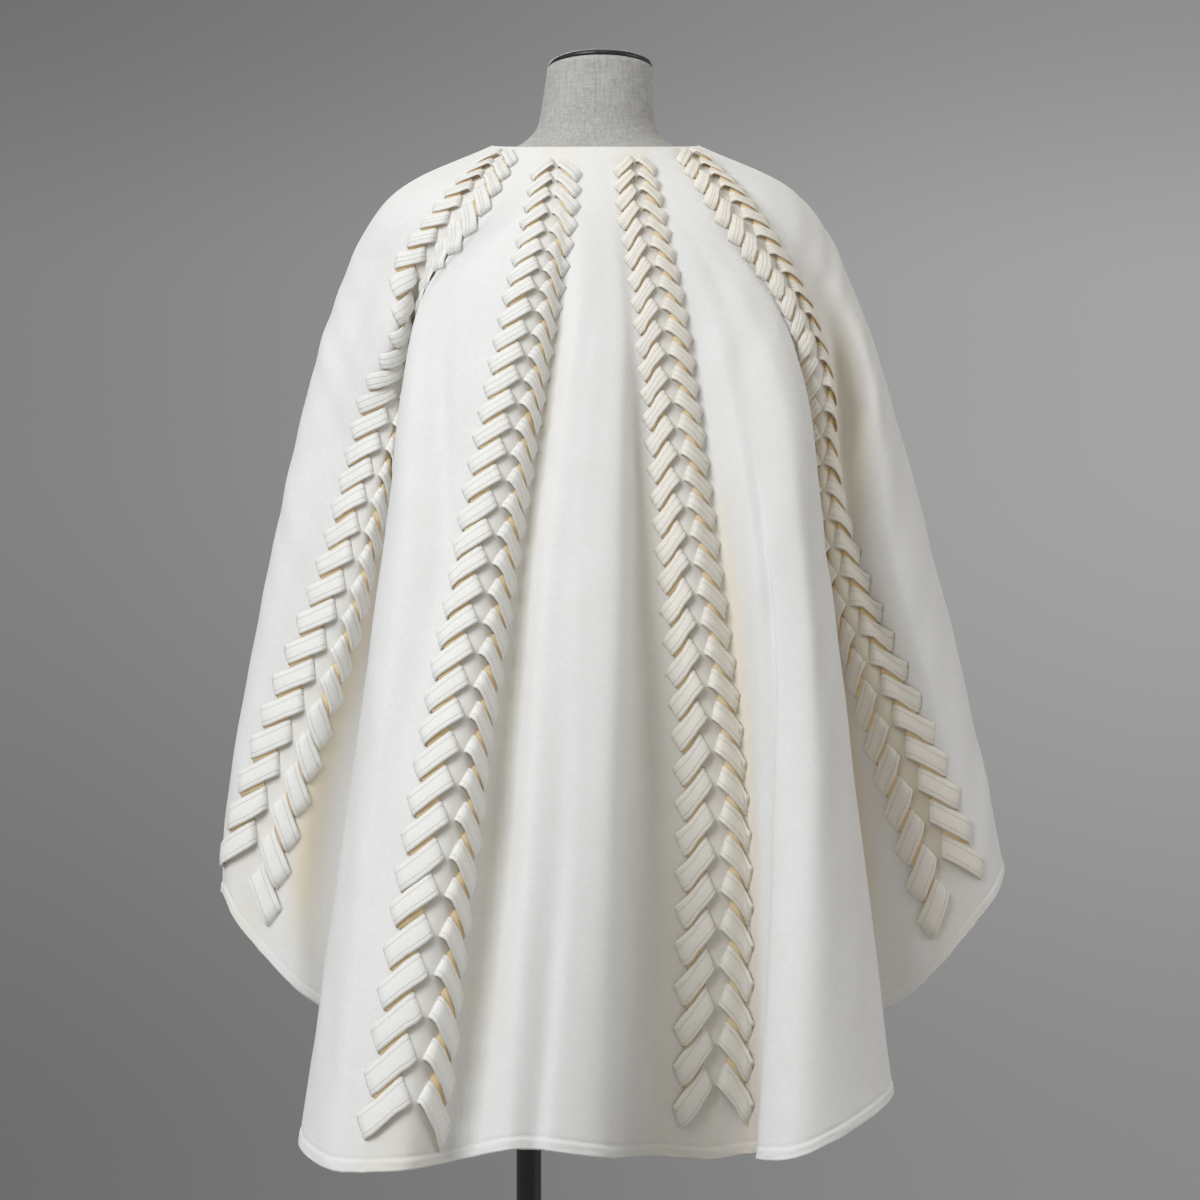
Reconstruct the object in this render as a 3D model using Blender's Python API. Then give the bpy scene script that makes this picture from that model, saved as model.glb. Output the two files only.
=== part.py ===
"""Wool cape coat with laced-tab braids, on a limbless dress form and stand.

Frame: metres, +Z up, origin on the floor under the pole, at the centre of the base plate.
The coat's back faces -Y and the wearer's right is +X.

The coat is one wide cape. A section of its whole girth is a smooth curve through the fold lines of a
short table, and every fold line hangs from the neck ring over the shoulder ring. The cloth is in parts
that meet at the side seams and under the braids. Rows of laced tabs follow the cloth's own points,
moved out.
"""
import math
from collections import namedtuple

import bmesh
import bpy
import numpy as np

COLLECTION = "wool_cape_coat"

# ---- driving dimensions, metres and degrees ----
FORM_X = 0.0675            # the neck stands this far to +X of the pole, because the form leans
LEAN = 0.058               # sideways lean of the form, metres for each metre of height
LEAN_FROM_Z = 1.480        # height at which the leaning form is centred on FORM_X
CLOTH = 0.0025             # double-faced wool
SEAM_GAP = 0.0003          # between two panels that are sewn together
TAB_CLEARANCE = 0.00135    # between a panel and the tabs laced on it
HEM_MARGIN = 0.012         # bare cloth under the last tab
FIRST_TAB = 0.004          # from the neckline to the first tab

RING_X = -0.004            # the shoulders' centre, from the neck's centre
NECK_RING = {"half_width": 0.0980, "back": 0.0850, "front": 0.0820,
             "side_z": 1.4100, "back_z": 1.3990, "front_z": 1.3760}
SHOULDER_RING = {"half_width": 0.1960, "back": 0.1190, "front": 0.1160,
                 "side_z": 1.3625, "back_z": 1.3440, "front_z": 1.3280}
BACK_FALL = 0.8            # how soon a ring falls from the shoulder towards the back; 1 is even
FRONT_FALL = 1.4           # and towards the front
YOKE_Z = 1.260
WAIST_Z = 1.000
HIP_Z = 0.780

# One row for each fold line, round the back from the wearer's left side seam to the right one.
# turn: degrees round the neck from the centre back; then where the line passes at the yoke, the
# waist and the hip, and where it ends at the hem. X is measured from the neck's centre.
Fold = namedtuple("Fold", "name turn yoke_x yoke_y waist_x waist_y hip_x hip_y hem_x hem_y hem_z")
BACK_FOLDS = [
    Fold("left side seam", -93, -0.2520, 0.022, -0.3120, 0.030, -0.3525, 0.035, -0.3560, 0.045, 0.705),
    Fold("left wing edge", -85, -0.2535, 0.000, -0.3159, 0.004, -0.3555, 0.008, -0.3610, 0.014, 0.701),
    Fold("left wing crest", -76, -0.2260, -0.036, -0.2960, -0.028, -0.3440, -0.014, -0.3570, -0.006, 0.698),
    Fold("left arm hollow", -67, -0.1950, -0.058, -0.2680, -0.038, -0.3300, -0.024, -0.3520, -0.014, 0.694),
    Fold("braid 1", -56, -0.1816, -0.080, -0.2324, -0.055, -0.3110, -0.030, -0.3450, -0.022, 0.689),
    Fold("left wing inside", -50, -0.1730, -0.087, -0.2190, -0.048, -0.2723, -0.045, -0.2850, -0.043, 0.615),
    Fold("left valley", -46, -0.1680, -0.0925, -0.2000, -0.037, -0.2130, -0.042, -0.2230, -0.046, 0.570),
    Fold("left valley wall", -43, -0.1635, -0.0965, -0.1910, -0.078, -0.2060, -0.094, -0.2260, -0.106, 0.530),
    Fold("left flute edge", -40, -0.1590, -0.100, -0.2017, -0.140, -0.2306, -0.170, -0.2710, -0.200, 0.490),
    Fold("left flute crest", -37, -0.1530, -0.104, -0.1810, -0.183, -0.2082, -0.222, -0.2390, -0.270, 0.4743),
    Fold("left flute dip", -32, -0.1385, -0.112, -0.1464, -0.193, -0.1869, -0.234, -0.2160, -0.285, 0.4736),
    Fold("left flute inside", -27, -0.1121, -0.134, -0.1327, -0.201, -0.1648, -0.248, -0.2040, -0.297, 0.4744),
    Fold("braid 2", -20.5, -0.0577, -0.150, -0.1010, -0.208, -0.1321, -0.256, -0.1714, -0.303, 0.4766),
    Fold("valley by braid 2", -13.5, -0.0370, -0.135, -0.0700, -0.177, -0.0930, -0.209, -0.1250, -0.254, 0.4796),
    Fold("centre crest", -8, -0.0183, -0.147, -0.0496, -0.201, -0.0625, -0.243, -0.0814, -0.277, 0.4919),
    Fold("centre dip", -3.5, -0.0046, -0.148, -0.0288, -0.204, -0.0349, -0.238, -0.0567, -0.268, 0.4913),
    Fold("centre crest 2", 1, 0.0064, -0.147, -0.0135, -0.203, -0.0179, -0.241, -0.0425, -0.272, 0.4904),
    Fold("centre turn", 5, 0.0150, -0.144, 0.0045, -0.196, 0.0018, -0.228, 0.0000, -0.245, 0.4824),
    Fold("centre valley wall", 12, 0.0290, -0.138, 0.0408, -0.172, 0.0501, -0.165, 0.0500, -0.167, 0.4708),
    Fold("braid 3", 20.6, 0.0526, -0.140, 0.0845, -0.162, 0.1065, -0.142, 0.1026, -0.110, 0.4620),
    Fold("valley by braid 3", 25.2, 0.0770, -0.133, 0.1130, -0.150, 0.1340, -0.139, 0.1370, -0.107, 0.4660),
    Fold("right strip", 29, 0.0963, -0.136, 0.1420, -0.188, 0.1472, -0.174, 0.1520, -0.136, 0.4700),
    Fold("right fold inside", 31.5, 0.1050, -0.1345, 0.1530, -0.1905, 0.1660, -0.186, 0.1790, -0.165, 0.4700),
    Fold("right fold edge", 34, 0.1123, -0.132, 0.1560, -0.1960, 0.1556, -0.213, 0.1400, -0.236, 0.4779),
    Fold("right flute crest", 37, 0.1246, -0.129, 0.1770, -0.197, 0.1800, -0.239, 0.1700, -0.281, 0.4850),
    Fold("right flute side", 41.5, 0.1440, -0.118, 0.1975, -0.172, 0.2150, -0.213, 0.2170, -0.258, 0.5028),
    Fold("right flute edge", 45.5, 0.1545, -0.107, 0.2102, -0.135, 0.2365, -0.155, 0.2658, -0.180, 0.5311),
    Fold("right valley wall", 48.7, 0.1575, -0.1035, 0.1998, -0.091, 0.2170, -0.087, 0.2330, -0.096, 0.548),
    Fold("right valley", 51, 0.1600, -0.0995, 0.2060, -0.064, 0.2210, -0.046, 0.2330, -0.047, 0.566),
    Fold("right wing inside", 53, 0.1622, -0.0975, 0.2140, -0.056, 0.2640, -0.046, 0.2950, -0.052, 0.610),
    Fold("braid 4", 56.5, 0.1645, -0.0955, 0.2240, -0.057, 0.3036, -0.032, 0.3450, -0.022, 0.675),
    Fold("right arm hollow", 68, 0.2015, -0.0610, 0.2480, -0.036, 0.3310, -0.024, 0.3620, -0.013, 0.690),
    Fold("right wing crest", 77, 0.2263, -0.034, 0.2800, -0.042, 0.3500, -0.013, 0.3740, -0.004, 0.702),
    Fold("right wing edge", 86, 0.2460, 0.000, 0.3215, 0.004, 0.3735, 0.008, 0.3860, 0.018, 0.719),
    Fold("right side seam", 94, 0.2445, 0.022, 0.3185, 0.030, 0.3705, 0.036, 0.3820, 0.050, 0.723),
]

# One row for each fold line of a front, from the side seam to the front edge. Each share is of the
# side seam's own X at that height, so both fronts come from these rows.
FrontFold = namedtuple("FrontFold", "name turn yoke yoke_y waist waist_y hip hip_y hem hem_y hem_z")
FRONT_FOLDS = [
    FrontFold("wing crest", 103, 0.900, 0.050, 0.930, 0.050, 0.970, 0.050, 0.985, 0.062, 0.705),
    FrontFold("outer braid", 115, 0.730, 0.088, 0.760, 0.074, 0.870, 0.068, 0.930, 0.086, 0.690),
    FrontFold("wing inside", 122, 0.675, 0.096, 0.680, 0.068, 0.740, 0.076, 0.780, 0.088, 0.630),
    FrontFold("valley", 127, 0.650, 0.100, 0.625, 0.060, 0.600, 0.066, 0.620, 0.080, 0.580),
    FrontFold("flute edge", 132, 0.620, 0.105, 0.615, 0.125, 0.640, 0.160, 0.720, 0.195, 0.505),
    FrontFold("flute crest", 138, 0.560, 0.113, 0.530, 0.172, 0.560, 0.215, 0.620, 0.258, 0.480),
    FrontFold("flute inside", 145, 0.450, 0.124, 0.420, 0.186, 0.450, 0.234, 0.480, 0.282, 0.474),
    FrontFold("inner braid", 153, 0.310, 0.138, 0.310, 0.192, 0.330, 0.240, 0.350, 0.286, 0.472),
    FrontFold("front dip", 161, 0.200, 0.140, 0.200, 0.178, 0.215, 0.212, 0.235, 0.246, 0.472),
    FrontFold("front crest", 169, 0.105, 0.145, 0.105, 0.192, 0.115, 0.234, 0.120, 0.268, 0.472),
    FrontFold("front edge", 177, 0.025, 0.146, 0.028, 0.194, 0.034, 0.240, 0.040, 0.280, 0.472),
]

# Braids: part of the node names, line that carries the braid, tabs between neck and hem.
Braid = namedtuple("Braid", "name line pitches")
BRAIDS = [
    Braid("front_inner_left", "inner braid left", 34),
    Braid("front_outer_left", "outer braid left", 30),
    Braid("back_outer_left", "braid 1", 30),
    Braid("back_inner_left", "braid 2", 34),
    Braid("back_inner_right", "braid 3", 34),
    Braid("back_outer_right", "braid 4", 30),
    Braid("front_outer_right", "outer braid right", 30),
    Braid("front_inner_right", "inner braid right", 34),
]
PITCH_GROWTH = 1.0248      # each tab is this much larger than the one above it
TAB_RUN = 1.5              # pitches from the top of a tab to the foot of its outer end
TAB_FACE = 0.80            # share of a pitch that the face of a tab takes
TAB_SLANT_TOP = 0.80       # fall of a tab from inner to outer end, in pitches, at the neck
TAB_SLANT_HEM = 1.02       # the same at the hem
TAB_HIGH = 0.0068          # rise of a tab's lower edge
TAB_LOW = 0.0026           # rise of its upper edge, tucked under the tab above
TAB_INNER_END = 0.06       # share of the half width where a tab's inner end lies
SPREAD_TOP = 0.0195        # half width of a braid at the neck
SPREAD_GAIN = 0.0265       # what it gains over SPREAD_LENGTH
SPREAD_LENGTH = 0.75
SPREAD_POWER = 0.62

# Rows of the cloth, as shares of the length from neck to hem
ROWS = (0.0, 0.035, 0.07, 0.1, 0.13, 0.165, 0.215, 0.28, 0.355, 0.435, 0.52, 0.605, 0.69, 0.77, 0.85, 0.925, 1.0)

# Parts of the cloth: the lines that each runs through, and its columns between one braid (or seam, or
# edge) and the next.
Part = namedtuple("Part", "name lines columns")
PARTS = [
    Part("front_left_panel", ("front edge left", "inner braid left", "outer braid left"), (4, 9)),
    Part("front_left_wing", ("outer braid left", "left side seam"), (3,)),
    Part("back_left_wing", ("left side seam", "braid 1"), (4,)),
    Part("back_left_panel", ("braid 1", "braid 2"), (12,)),
    Part("back_centre_panel", ("braid 2", "braid 3"), (7,)),
    Part("back_right_panel", ("braid 3", "braid 4"), (12,)),
    Part("back_right_wing", ("braid 4", "right side seam"), (4,)),
    Part("front_right_wing", ("right side seam", "outer braid right"), (3,)),
    Part("front_right_panel", ("outer braid right", "inner braid right", "front edge right"), (9, 4)),
]
SPAN_STEPS = 12            # fine steps between two fold lines

# Sections of the dress form
FormSection = namedtuple("FormSection", "name z half_width back front")
FORM_SECTIONS = [
    FormSection("foot", 0.8000, 0.1440, 0.1010, 0.0960),
    FormSection("foot edge", 0.8080, 0.1510, 0.1080, 0.1020),
    FormSection("hip", 0.8700, 0.1680, 0.1180, 0.1080),
    FormSection("high hip", 0.9400, 0.1540, 0.1080, 0.1030),
    FormSection("waist", 1.0400, 0.1230, 0.0890, 0.0970),
    FormSection("ribs", 1.1200, 0.1360, 0.0940, 0.1110),
    FormSection("bust", 1.1900, 0.1520, 0.1030, 0.1240),
    FormSection("chest", 1.2450, 0.1600, 0.1090, 0.1180),
    FormSection("armhole", 1.3000, 0.1720, 0.1110, 0.1070),
    FormSection("shoulder end", 1.3315, 0.1820, 0.1060, 0.0910),
    FormSection("shoulder 1", 1.3520, 0.1840, 0.0975, 0.0790),
    FormSection("shoulder 2", 1.3675, 0.1710, 0.0900, 0.0700),
    FormSection("shoulder 3", 1.3800, 0.1480, 0.0820, 0.0620),
    FormSection("shoulder 4", 1.3905, 0.1220, 0.0745, 0.0570),
    FormSection("neck base 1", 1.3992, 0.0970, 0.0700, 0.0540),
    FormSection("neck base 2", 1.4068, 0.0770, 0.0655, 0.0525),
    FormSection("neck base 3", 1.4150, 0.0650, 0.0625, 0.0525),
    FormSection("neck base 4", 1.4250, 0.0575, 0.0600, 0.0525),
    FormSection("neck", 1.4370, 0.0550, 0.0585, 0.0525),
    FormSection("neck middle", 1.4560, 0.0530, 0.0565, 0.0520),
    FormSection("neck top", 1.4810, 0.0508, 0.0550, 0.0515),
]
FORM_SIDES = 30
NECK_TILT = 0.140          # slope of the neck's top, higher at the back
TILT_FROM_Z = 1.4370       # the slope fades to nothing down to this height

CapRing = namedtuple("CapRing", "share rise")
CAP_RINGS = [
    CapRing(0.955, 0.0003), CapRing(0.975, 0.0022), CapRing(0.960, 0.0048),
    CapRing(0.860, 0.0072), CapRing(0.600, 0.0090), CapRing(0.300, 0.0098),
]

POLE_RADIUS = 0.0118
POLE_SIDES = 24
PLATE_SIDES = 40
PLATE_RADIUS = 0.190
PLATE_HEIGHT = 0.012
PLATE_EDGE = 0.003
HUB_RADIUS = 0.030
HUB_HEIGHT = 0.034
JOIN_GAP = 0.0003          # between two pieces that rest on each other


# ---- scene and materials ----
def clear_scene():
    """Remove the scene's objects, so that the script can be run again."""
    for obj in list(bpy.data.objects):
        bpy.data.objects.remove(obj, do_unlink=True)


def make_collection():
    """Return the coat's own collection."""
    collection = bpy.data.collections.get(COLLECTION) or bpy.data.collections.new(COLLECTION)
    if collection.name not in bpy.context.scene.collection.children:
        bpy.context.scene.collection.children.link(collection)
    return collection


def make_material(name, colour, roughness, metallic=0.0):
    """Return a Principled material."""
    material = bpy.data.materials.new(name)
    material.use_nodes = True
    shader = material.node_tree.nodes["Principled BSDF"]
    shader.inputs["Base Color"].default_value = (*colour, 1.0)
    shader.inputs["Roughness"].default_value = roughness
    shader.inputs["Metallic"].default_value = metallic
    return material


def add_mesh(collection, name, points, faces, material):
    """Make a mesh object from points and faces, and shade it smooth."""
    mesh = bpy.data.meshes.new(name)
    mesh.from_pydata([tuple(point) for point in points], [], faces)
    mesh.validate()
    mesh.materials.append(material)
    mesh.shade_smooth()
    mesh.set_sharp_from_angle(angle=math.radians(40))
    obj = bpy.data.objects.new(name, mesh)
    collection.objects.link(obj)
    return obj


# ---- curves ----
def smooth_path(points, steps):
    """Return a centripetal Catmull-Rom curve through points, with steps to each span."""
    points = np.asarray(points, dtype=float)
    first = 2.0 * points[0] - points[1]
    last = 2.0 * points[-1] - points[-2]
    knots = np.vstack([first, points, last])
    gaps = np.sqrt(np.linalg.norm(np.diff(knots, axis=0), axis=1)) + 1e-9
    at = np.concatenate([[0.0], np.cumsum(gaps)])
    fraction = np.arange(steps) / steps
    spans = []
    for k in range(1, len(knots) - 2):
        t = (at[k] + fraction * (at[k + 1] - at[k]))[:, None]
        a1 = mix(knots[k - 1], knots[k], t, at[k - 1], at[k])
        a2 = mix(knots[k], knots[k + 1], t, at[k], at[k + 1])
        a3 = mix(knots[k + 1], knots[k + 2], t, at[k + 1], at[k + 2])
        b1 = mix(a1, a2, t, at[k - 1], at[k + 1])
        b2 = mix(a2, a3, t, at[k], at[k + 2])
        spans.append(mix(b1, b2, t, at[k], at[k + 1]))
    return np.vstack(spans + [points[-1:]])


def mix(low, high, t, t_low, t_high):
    """Return the blend of low and high at t, between t_low and t_high."""
    return ((t_high - t) * low + (t - t_low) * high) / (t_high - t_low)


def lengths_along(path):
    """Return the distance along a path at each of its points."""
    return np.concatenate([[0.0], np.cumsum(np.linalg.norm(np.diff(path, axis=0), axis=1))])


def points_at(path, distances, wanted):
    """Return the points of a path at the wanted distances."""
    return np.stack([np.interp(wanted, distances, path[:, axis]) for axis in range(3)], axis=-1)


# ---- fold lines ----
def ring_point(ring, turn):
    """Return the point of a ring at a turn in degrees from the centre back."""
    angle = math.radians(turn)
    cosine = math.cos(angle)
    depth = ring["back"] if cosine > 0 else ring["front"]
    middle_z = ring["back_z"] if cosine > 0 else ring["front_z"]
    fall = BACK_FALL if cosine > 0 else FRONT_FALL
    z = ring["side_z"] + (middle_z - ring["side_z"]) * abs(cosine) ** fall
    return (RING_X + ring["half_width"] * math.sin(angle), -depth * cosine, z)


def shoulder_turn(turn):
    """Return a fold line's turn at the shoulders: the broad back takes less of the turn."""
    share = min(abs(turn), 180.0 - abs(turn)) / 90.0
    narrow = 0.57 + 0.43 * share ** 3
    side = min(abs(turn), 180.0 - abs(turn)) * narrow
    return math.copysign(side if abs(turn) <= 90.0 else 180.0 - side, turn)


def line_stations(fold):
    """Return the six points that a fold line passes, from neck to hem."""
    return [
        ring_point(NECK_RING, fold.turn),
        ring_point(SHOULDER_RING, shoulder_turn(fold.turn)),
        (fold.yoke_x, fold.yoke_y, YOKE_Z),
        (fold.waist_x, fold.waist_y, WAIST_Z),
        (fold.hip_x, fold.hip_y, HIP_Z),
        (fold.hem_x, fold.hem_y, fold.hem_z),
    ]


def front_lines(seam, side):
    """Return the fold lines of one front, from its side seam to its edge."""
    sign = -1.0 if side == "left" else 1.0
    return [
        Fold(f"{row.name} {side}", sign * row.turn,
             row.yoke * seam.yoke_x, row.yoke_y, row.waist * seam.waist_x, row.waist_y,
             row.hip * seam.hip_x, row.hip_y, row.hem * seam.hem_x, row.hem_y, row.hem_z)
        for row in FRONT_FOLDS
    ]


def all_lines():
    """Return the fold lines of the whole girth, from the left front edge round the back."""
    left = front_lines(BACK_FOLDS[0], "left")
    right = front_lines(BACK_FOLDS[-1], "right")
    return left[::-1] + BACK_FOLDS + right


def line_table(lines, rows):
    """Return the points of every fold line at every row, and each line's length."""
    table = np.zeros((len(lines), len(rows), 3))
    totals = np.zeros(len(lines))
    for k, fold in enumerate(lines):
        path = smooth_path(line_stations(fold), 2 * SPAN_STEPS)
        distances = lengths_along(path)
        totals[k] = distances[-1]
        table[k] = points_at(path, distances, np.asarray(rows) * distances[-1])
    table[:, :, 0] += FORM_X
    return table, totals


# ---- panels ----
def braid_half_width(length):
    """Return a braid's half width at a distance from the neck."""
    return SPREAD_TOP + SPREAD_GAIN * (length / SPREAD_LENGTH) ** SPREAD_POWER


def part_places(section, stops, halves, columns):
    """Return the places of a part's columns along one row.

    section is the row's fine curve. stops are the distances along it of the part's lines, and halves
    the half width of the braid on each, or None. A braid takes columns at its edges, its centre and
    half-way between, or half of them at the part's edge. The columns between two braids are even in
    the curve's steps.
    """
    distances = lengths_along(section)
    steps = np.arange(len(section))
    places = []
    for k, count in enumerate(columns):
        low = stops[k] + (halves[k] or 0.0)
        high = stops[k + 1] - (halves[k + 1] or 0.0)
        if halves[k]:
            places += [[stops[k]], [stops[k] + 0.5 * halves[k]]]
        first, last = np.interp([low, high], distances, steps)
        places.append(np.interp(first + (last - first) * np.arange(count + 1) / count, steps, distances))
        if halves[k + 1]:
            places.append([stops[k + 1] - 0.5 * halves[k + 1]])
    if halves[-1]:
        places.append([stops[-1]])
    return np.concatenate(places)


def build_part(part, lines, table, totals, braid_lines):
    """Return a part's points and normals, row by row."""
    names = [fold.name for fold in lines]
    at = [names.index(name) for name in part.lines]
    grid, along = [], []
    for r, share in enumerate(ROWS):
        section = smooth_path(table[:, r], SPAN_STEPS)
        distances = lengths_along(section)
        stops = [distances[k * SPAN_STEPS] for k in at]
        stops[0] += 0.5 * SEAM_GAP * (at[0] > 0)
        stops[-1] -= 0.5 * SEAM_GAP * (at[-1] < len(lines) - 1)
        halves = [braid_half_width(share * totals[k]) if names[k] in braid_lines else None for k in at]
        places = part_places(section, stops, halves, part.columns)
        grid.append(points_at(section, distances, places))
        along.append(points_at(np.gradient(section, axis=0), distances, places))
    grid = np.array(grid)
    normals = np.cross(np.gradient(grid, axis=0), np.array(along))
    return grid, normals / np.linalg.norm(normals, axis=2, keepdims=True)


def grid_triangles(grid, normals):
    """Return a grid's triangles, outer side away from the form.

    Each quad is split along the lower of its two diagonals, so that a tab lying straight across it
    stays clear of the cloth.
    """
    rows, columns = grid.shape[:2]
    faces = []
    for r in range(rows - 1):
        for c in range(columns - 1):
            a, b = r * columns + c, (r + 1) * columns + c
            rise = (grid[r, c] + grid[r + 1, c + 1] - grid[r + 1, c] - grid[r, c + 1]) @ normals[r, c]
            if rise < 0.0:
                faces += [(a, b, b + 1), (a, b + 1, a + 1)]
            else:
                faces += [(a, b, a + 1), (b, b + 1, a + 1)]
    return faces


def grid_rim(rows, columns):
    """Return the indices round a grid's border, in the order of its faces."""
    left = [r * columns for r in range(rows)]
    bottom = [(rows - 1) * columns + c for c in range(1, columns)]
    right = [r * columns + columns - 1 for r in range(rows - 2, -1, -1)]
    top = [c for c in range(columns - 2, 0, -1)]
    return left + bottom + right + top


def make_part(collection, name, grid, normals, material):
    """Make one part of the cloth: an outer and an inner surface its thickness apart, with a rim."""
    rows, columns = grid.shape[:2]
    inner = grid - CLOTH * normals
    count = rows * columns
    outer = grid_triangles(grid, normals)
    faces = outer + [(a + count, c + count, b + count) for a, b, c in outer]
    rim = grid_rim(rows, columns)
    for one, two in zip(rim, rim[1:] + rim[:1]):
        faces.append((two, one, one + count, two + count))
    points = np.vstack([grid.reshape(-1, 3), inner.reshape(-1, 3)])
    return add_mesh(collection, name, points, faces, material)


# ---- rows of laced tabs ----
def place_on_braid(centre, line):
    """Return, for each point of a line, how far along the braid's centre it lies."""
    distances = lengths_along(centre)
    nearest = [distances[np.argmin(np.linalg.norm(centre - point, axis=1))] for point in line]
    return np.maximum.accumulate(np.array(nearest))


def tab_places(first_pitch, index):
    """Return the distance from the neck to the top of a tab, for whole or part indices."""
    return FIRST_TAB + first_pitch * (PITCH_GROWTH ** index - 1.0) / (PITCH_GROWTH - 1.0)


def tab_row(columns, normals, side, length, pitches):
    """Return the points and faces of one row of tabs, on one side of a braid's centre.

    columns are the points of three columns of the cloth: at the braid's centre, half-way out and at
    its edge. Each tab has an upper and a lower edge, both slanting outward. The edges' ends lie on the cloth
    and their middles are raised, the lower more than the upper. The plain underside follows the
    panel's own columns, moved out.
    """
    fine = np.linspace(0.0, 1.0, 401)
    lines, places = [], []
    for column, normal in zip(columns, normals):
        path = np.stack([np.interp(fine, ROWS, column[:, axis]) for axis in range(3)], axis=-1)
        out = np.stack([np.interp(fine, ROWS, normal[:, axis]) for axis in range(3)], axis=-1)
        lines.append((path, out))
        places.append(place_on_braid(lines[0][0], path))
    share = 2.0 * TAB_INNER_END
    inner = [mix_lines(lines[0][part], lines[1][part], share) for part in (0, 1)]
    tracks = [(inner[0], inner[1], places[0] * (1 - share) + places[1] * share),
              (*lines[1], places[1]), (*lines[2], places[2])]
    growth = PITCH_GROWTH ** pitches
    first_pitch = (length - HEM_MARGIN - FIRST_TAB) / ((growth - 1) / (PITCH_GROWTH - 1) + TAB_RUN * growth)
    last_place = places[2][-1] - HEM_MARGIN
    edges = []
    for index in range(pitches + 1):
        pitch = first_pitch * PITCH_GROWTH ** index
        slant = pitch * (TAB_SLANT_TOP + (TAB_SLANT_HEM - TAB_SLANT_TOP) * index / pitches)
        foot = tab_places(first_pitch, index + TAB_FACE)
        if foot + slant > last_place:
            break
        edges.append((tab_places(first_pitch, index), slant, TAB_LOW))
        edges.append((foot, slant, TAB_HIGH))
    return tab_solid(tracks, edges, side)


def mix_lines(one, two, share):
    """Return the points a share of the way from one line to another."""
    return one + (two - one) * share


def tab_solid(tracks, edges, side):
    """Return the closed solid of a row of tabs from its edges.

    tracks are the inner end, middle and outer end lines, each with its points, normals and places
    along the braid. The boundary points are shared by the raised face and the plain underside.
    """
    points = []
    for place, slant, rise in edges:
        for share, (path, out, along) in zip((0.0, 0.5, 1.0), tracks):
            step = np.interp(place + slant * share, along, np.arange(len(path)))
            at = np.array([np.interp(step, np.arange(len(path)), path[:, axis]) for axis in range(3)])
            normal = np.array([np.interp(step, np.arange(len(path)), out[:, axis]) for axis in range(3)])
            points.append(at + normal * TAB_CLEARANCE)
            if share == 0.5:
                points.append(at + normal * (TAB_CLEARANCE + rise))
    faces = []
    for e in range(len(edges) - 1):
        inner, under, top, outer = 4 * e, 4 * e + 1, 4 * e + 2, 4 * e + 3
        faces += [(inner, inner + 4, top + 4, top), (top, top + 4, outer + 4, outer)]
        faces += [(inner, under, under + 4, inner + 4), (under, outer, outer + 4, under + 4)]
    last = 4 * (len(edges) - 1)
    faces += [(0, 2, 3, 1), (last, last + 1, last + 3, last + 2)]
    if side < 0:
        faces = [face[::-1] for face in faces]
    return points, faces


def triangulated(obj):
    """Split an object's faces into triangles along their shorter diagonals."""
    mesh = bmesh.new()
    mesh.from_mesh(obj.data)
    bmesh.ops.triangulate(mesh, faces=mesh.faces[:], quad_method="SHORT_EDGE")
    mesh.to_mesh(obj.data)
    mesh.free()
    return obj


# ---- dress form and stand ----
def ring_loft(rings):
    """Return the points and faces of a closed loft through rings of equal counts, bottom first."""
    count = len(rings[0])
    points = [point for ring in rings for point in ring]
    faces = []
    for r in range(len(rings) - 1):
        for k in range(count):
            after = (k + 1) % count
            faces.append((r * count + k, r * count + after, (r + 1) * count + after, (r + 1) * count + k))
    faces.append(tuple(range(count))[::-1])
    faces.append(tuple((len(rings) - 1) * count + k for k in range(count)))
    return points, faces


def form_ring(section, share=1.0, rise=0.0):
    """Return a section of the dress form: half an ellipse to the back, half to the front."""
    ring = []
    for k in range(FORM_SIDES):
        angle = 2.0 * math.pi * k / FORM_SIDES
        depth = section.front if math.sin(angle) > 0 else section.back
        x = section.half_width * share * math.cos(angle)
        y = depth * share * math.sin(angle)
        tilt = NECK_TILT * max(0.0, section.z - TILT_FROM_Z) / (FORM_SECTIONS[-1].z - TILT_FROM_Z)
        z = section.z - tilt * y + rise
        ring.append((x + FORM_X + LEAN * (z - LEAN_FROM_Z), y, z))
    return ring


def make_form(collection, linen, black):
    """Make the dress form and the cap on its neck."""
    points, faces = ring_loft([form_ring(section) for section in FORM_SECTIONS])
    add_mesh(collection, "form_torso", points, faces, linen)
    top = FORM_SECTIONS[-1]
    points, faces = ring_loft([form_ring(top, ring.share, ring.rise) for ring in CAP_RINGS])
    add_mesh(collection, "neck_cap", points, faces, black)


def make_stand(collection, black):
    """Make the pole and the base plate with its hub."""
    low = HUB_HEIGHT + JOIN_GAP
    high = FORM_SECTIONS[0].z - JOIN_GAP
    bpy.ops.mesh.primitive_cylinder_add(vertices=POLE_SIDES, radius=POLE_RADIUS, depth=high - low,
                                        location=(0.0, 0.0, 0.5 * (low + high)))
    finish_primitive(collection, "stand_pole", black)
    outline = [(HUB_RADIUS * 0.72, HUB_HEIGHT), (HUB_RADIUS, HUB_HEIGHT * 0.72), (HUB_RADIUS * 1.3, PLATE_HEIGHT),
               (PLATE_RADIUS - PLATE_EDGE, PLATE_HEIGHT), (PLATE_RADIUS, PLATE_HEIGHT - PLATE_EDGE),
               (PLATE_RADIUS, 0.0)]
    rings = []
    for radius, z in outline[::-1]:
        rings.append([(radius * math.cos(2.0 * math.pi * k / PLATE_SIDES),
                       radius * math.sin(2.0 * math.pi * k / PLATE_SIDES), z) for k in range(PLATE_SIDES)])
    points, faces = ring_loft(rings)
    add_mesh(collection, "stand_base", points, faces, black)


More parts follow.
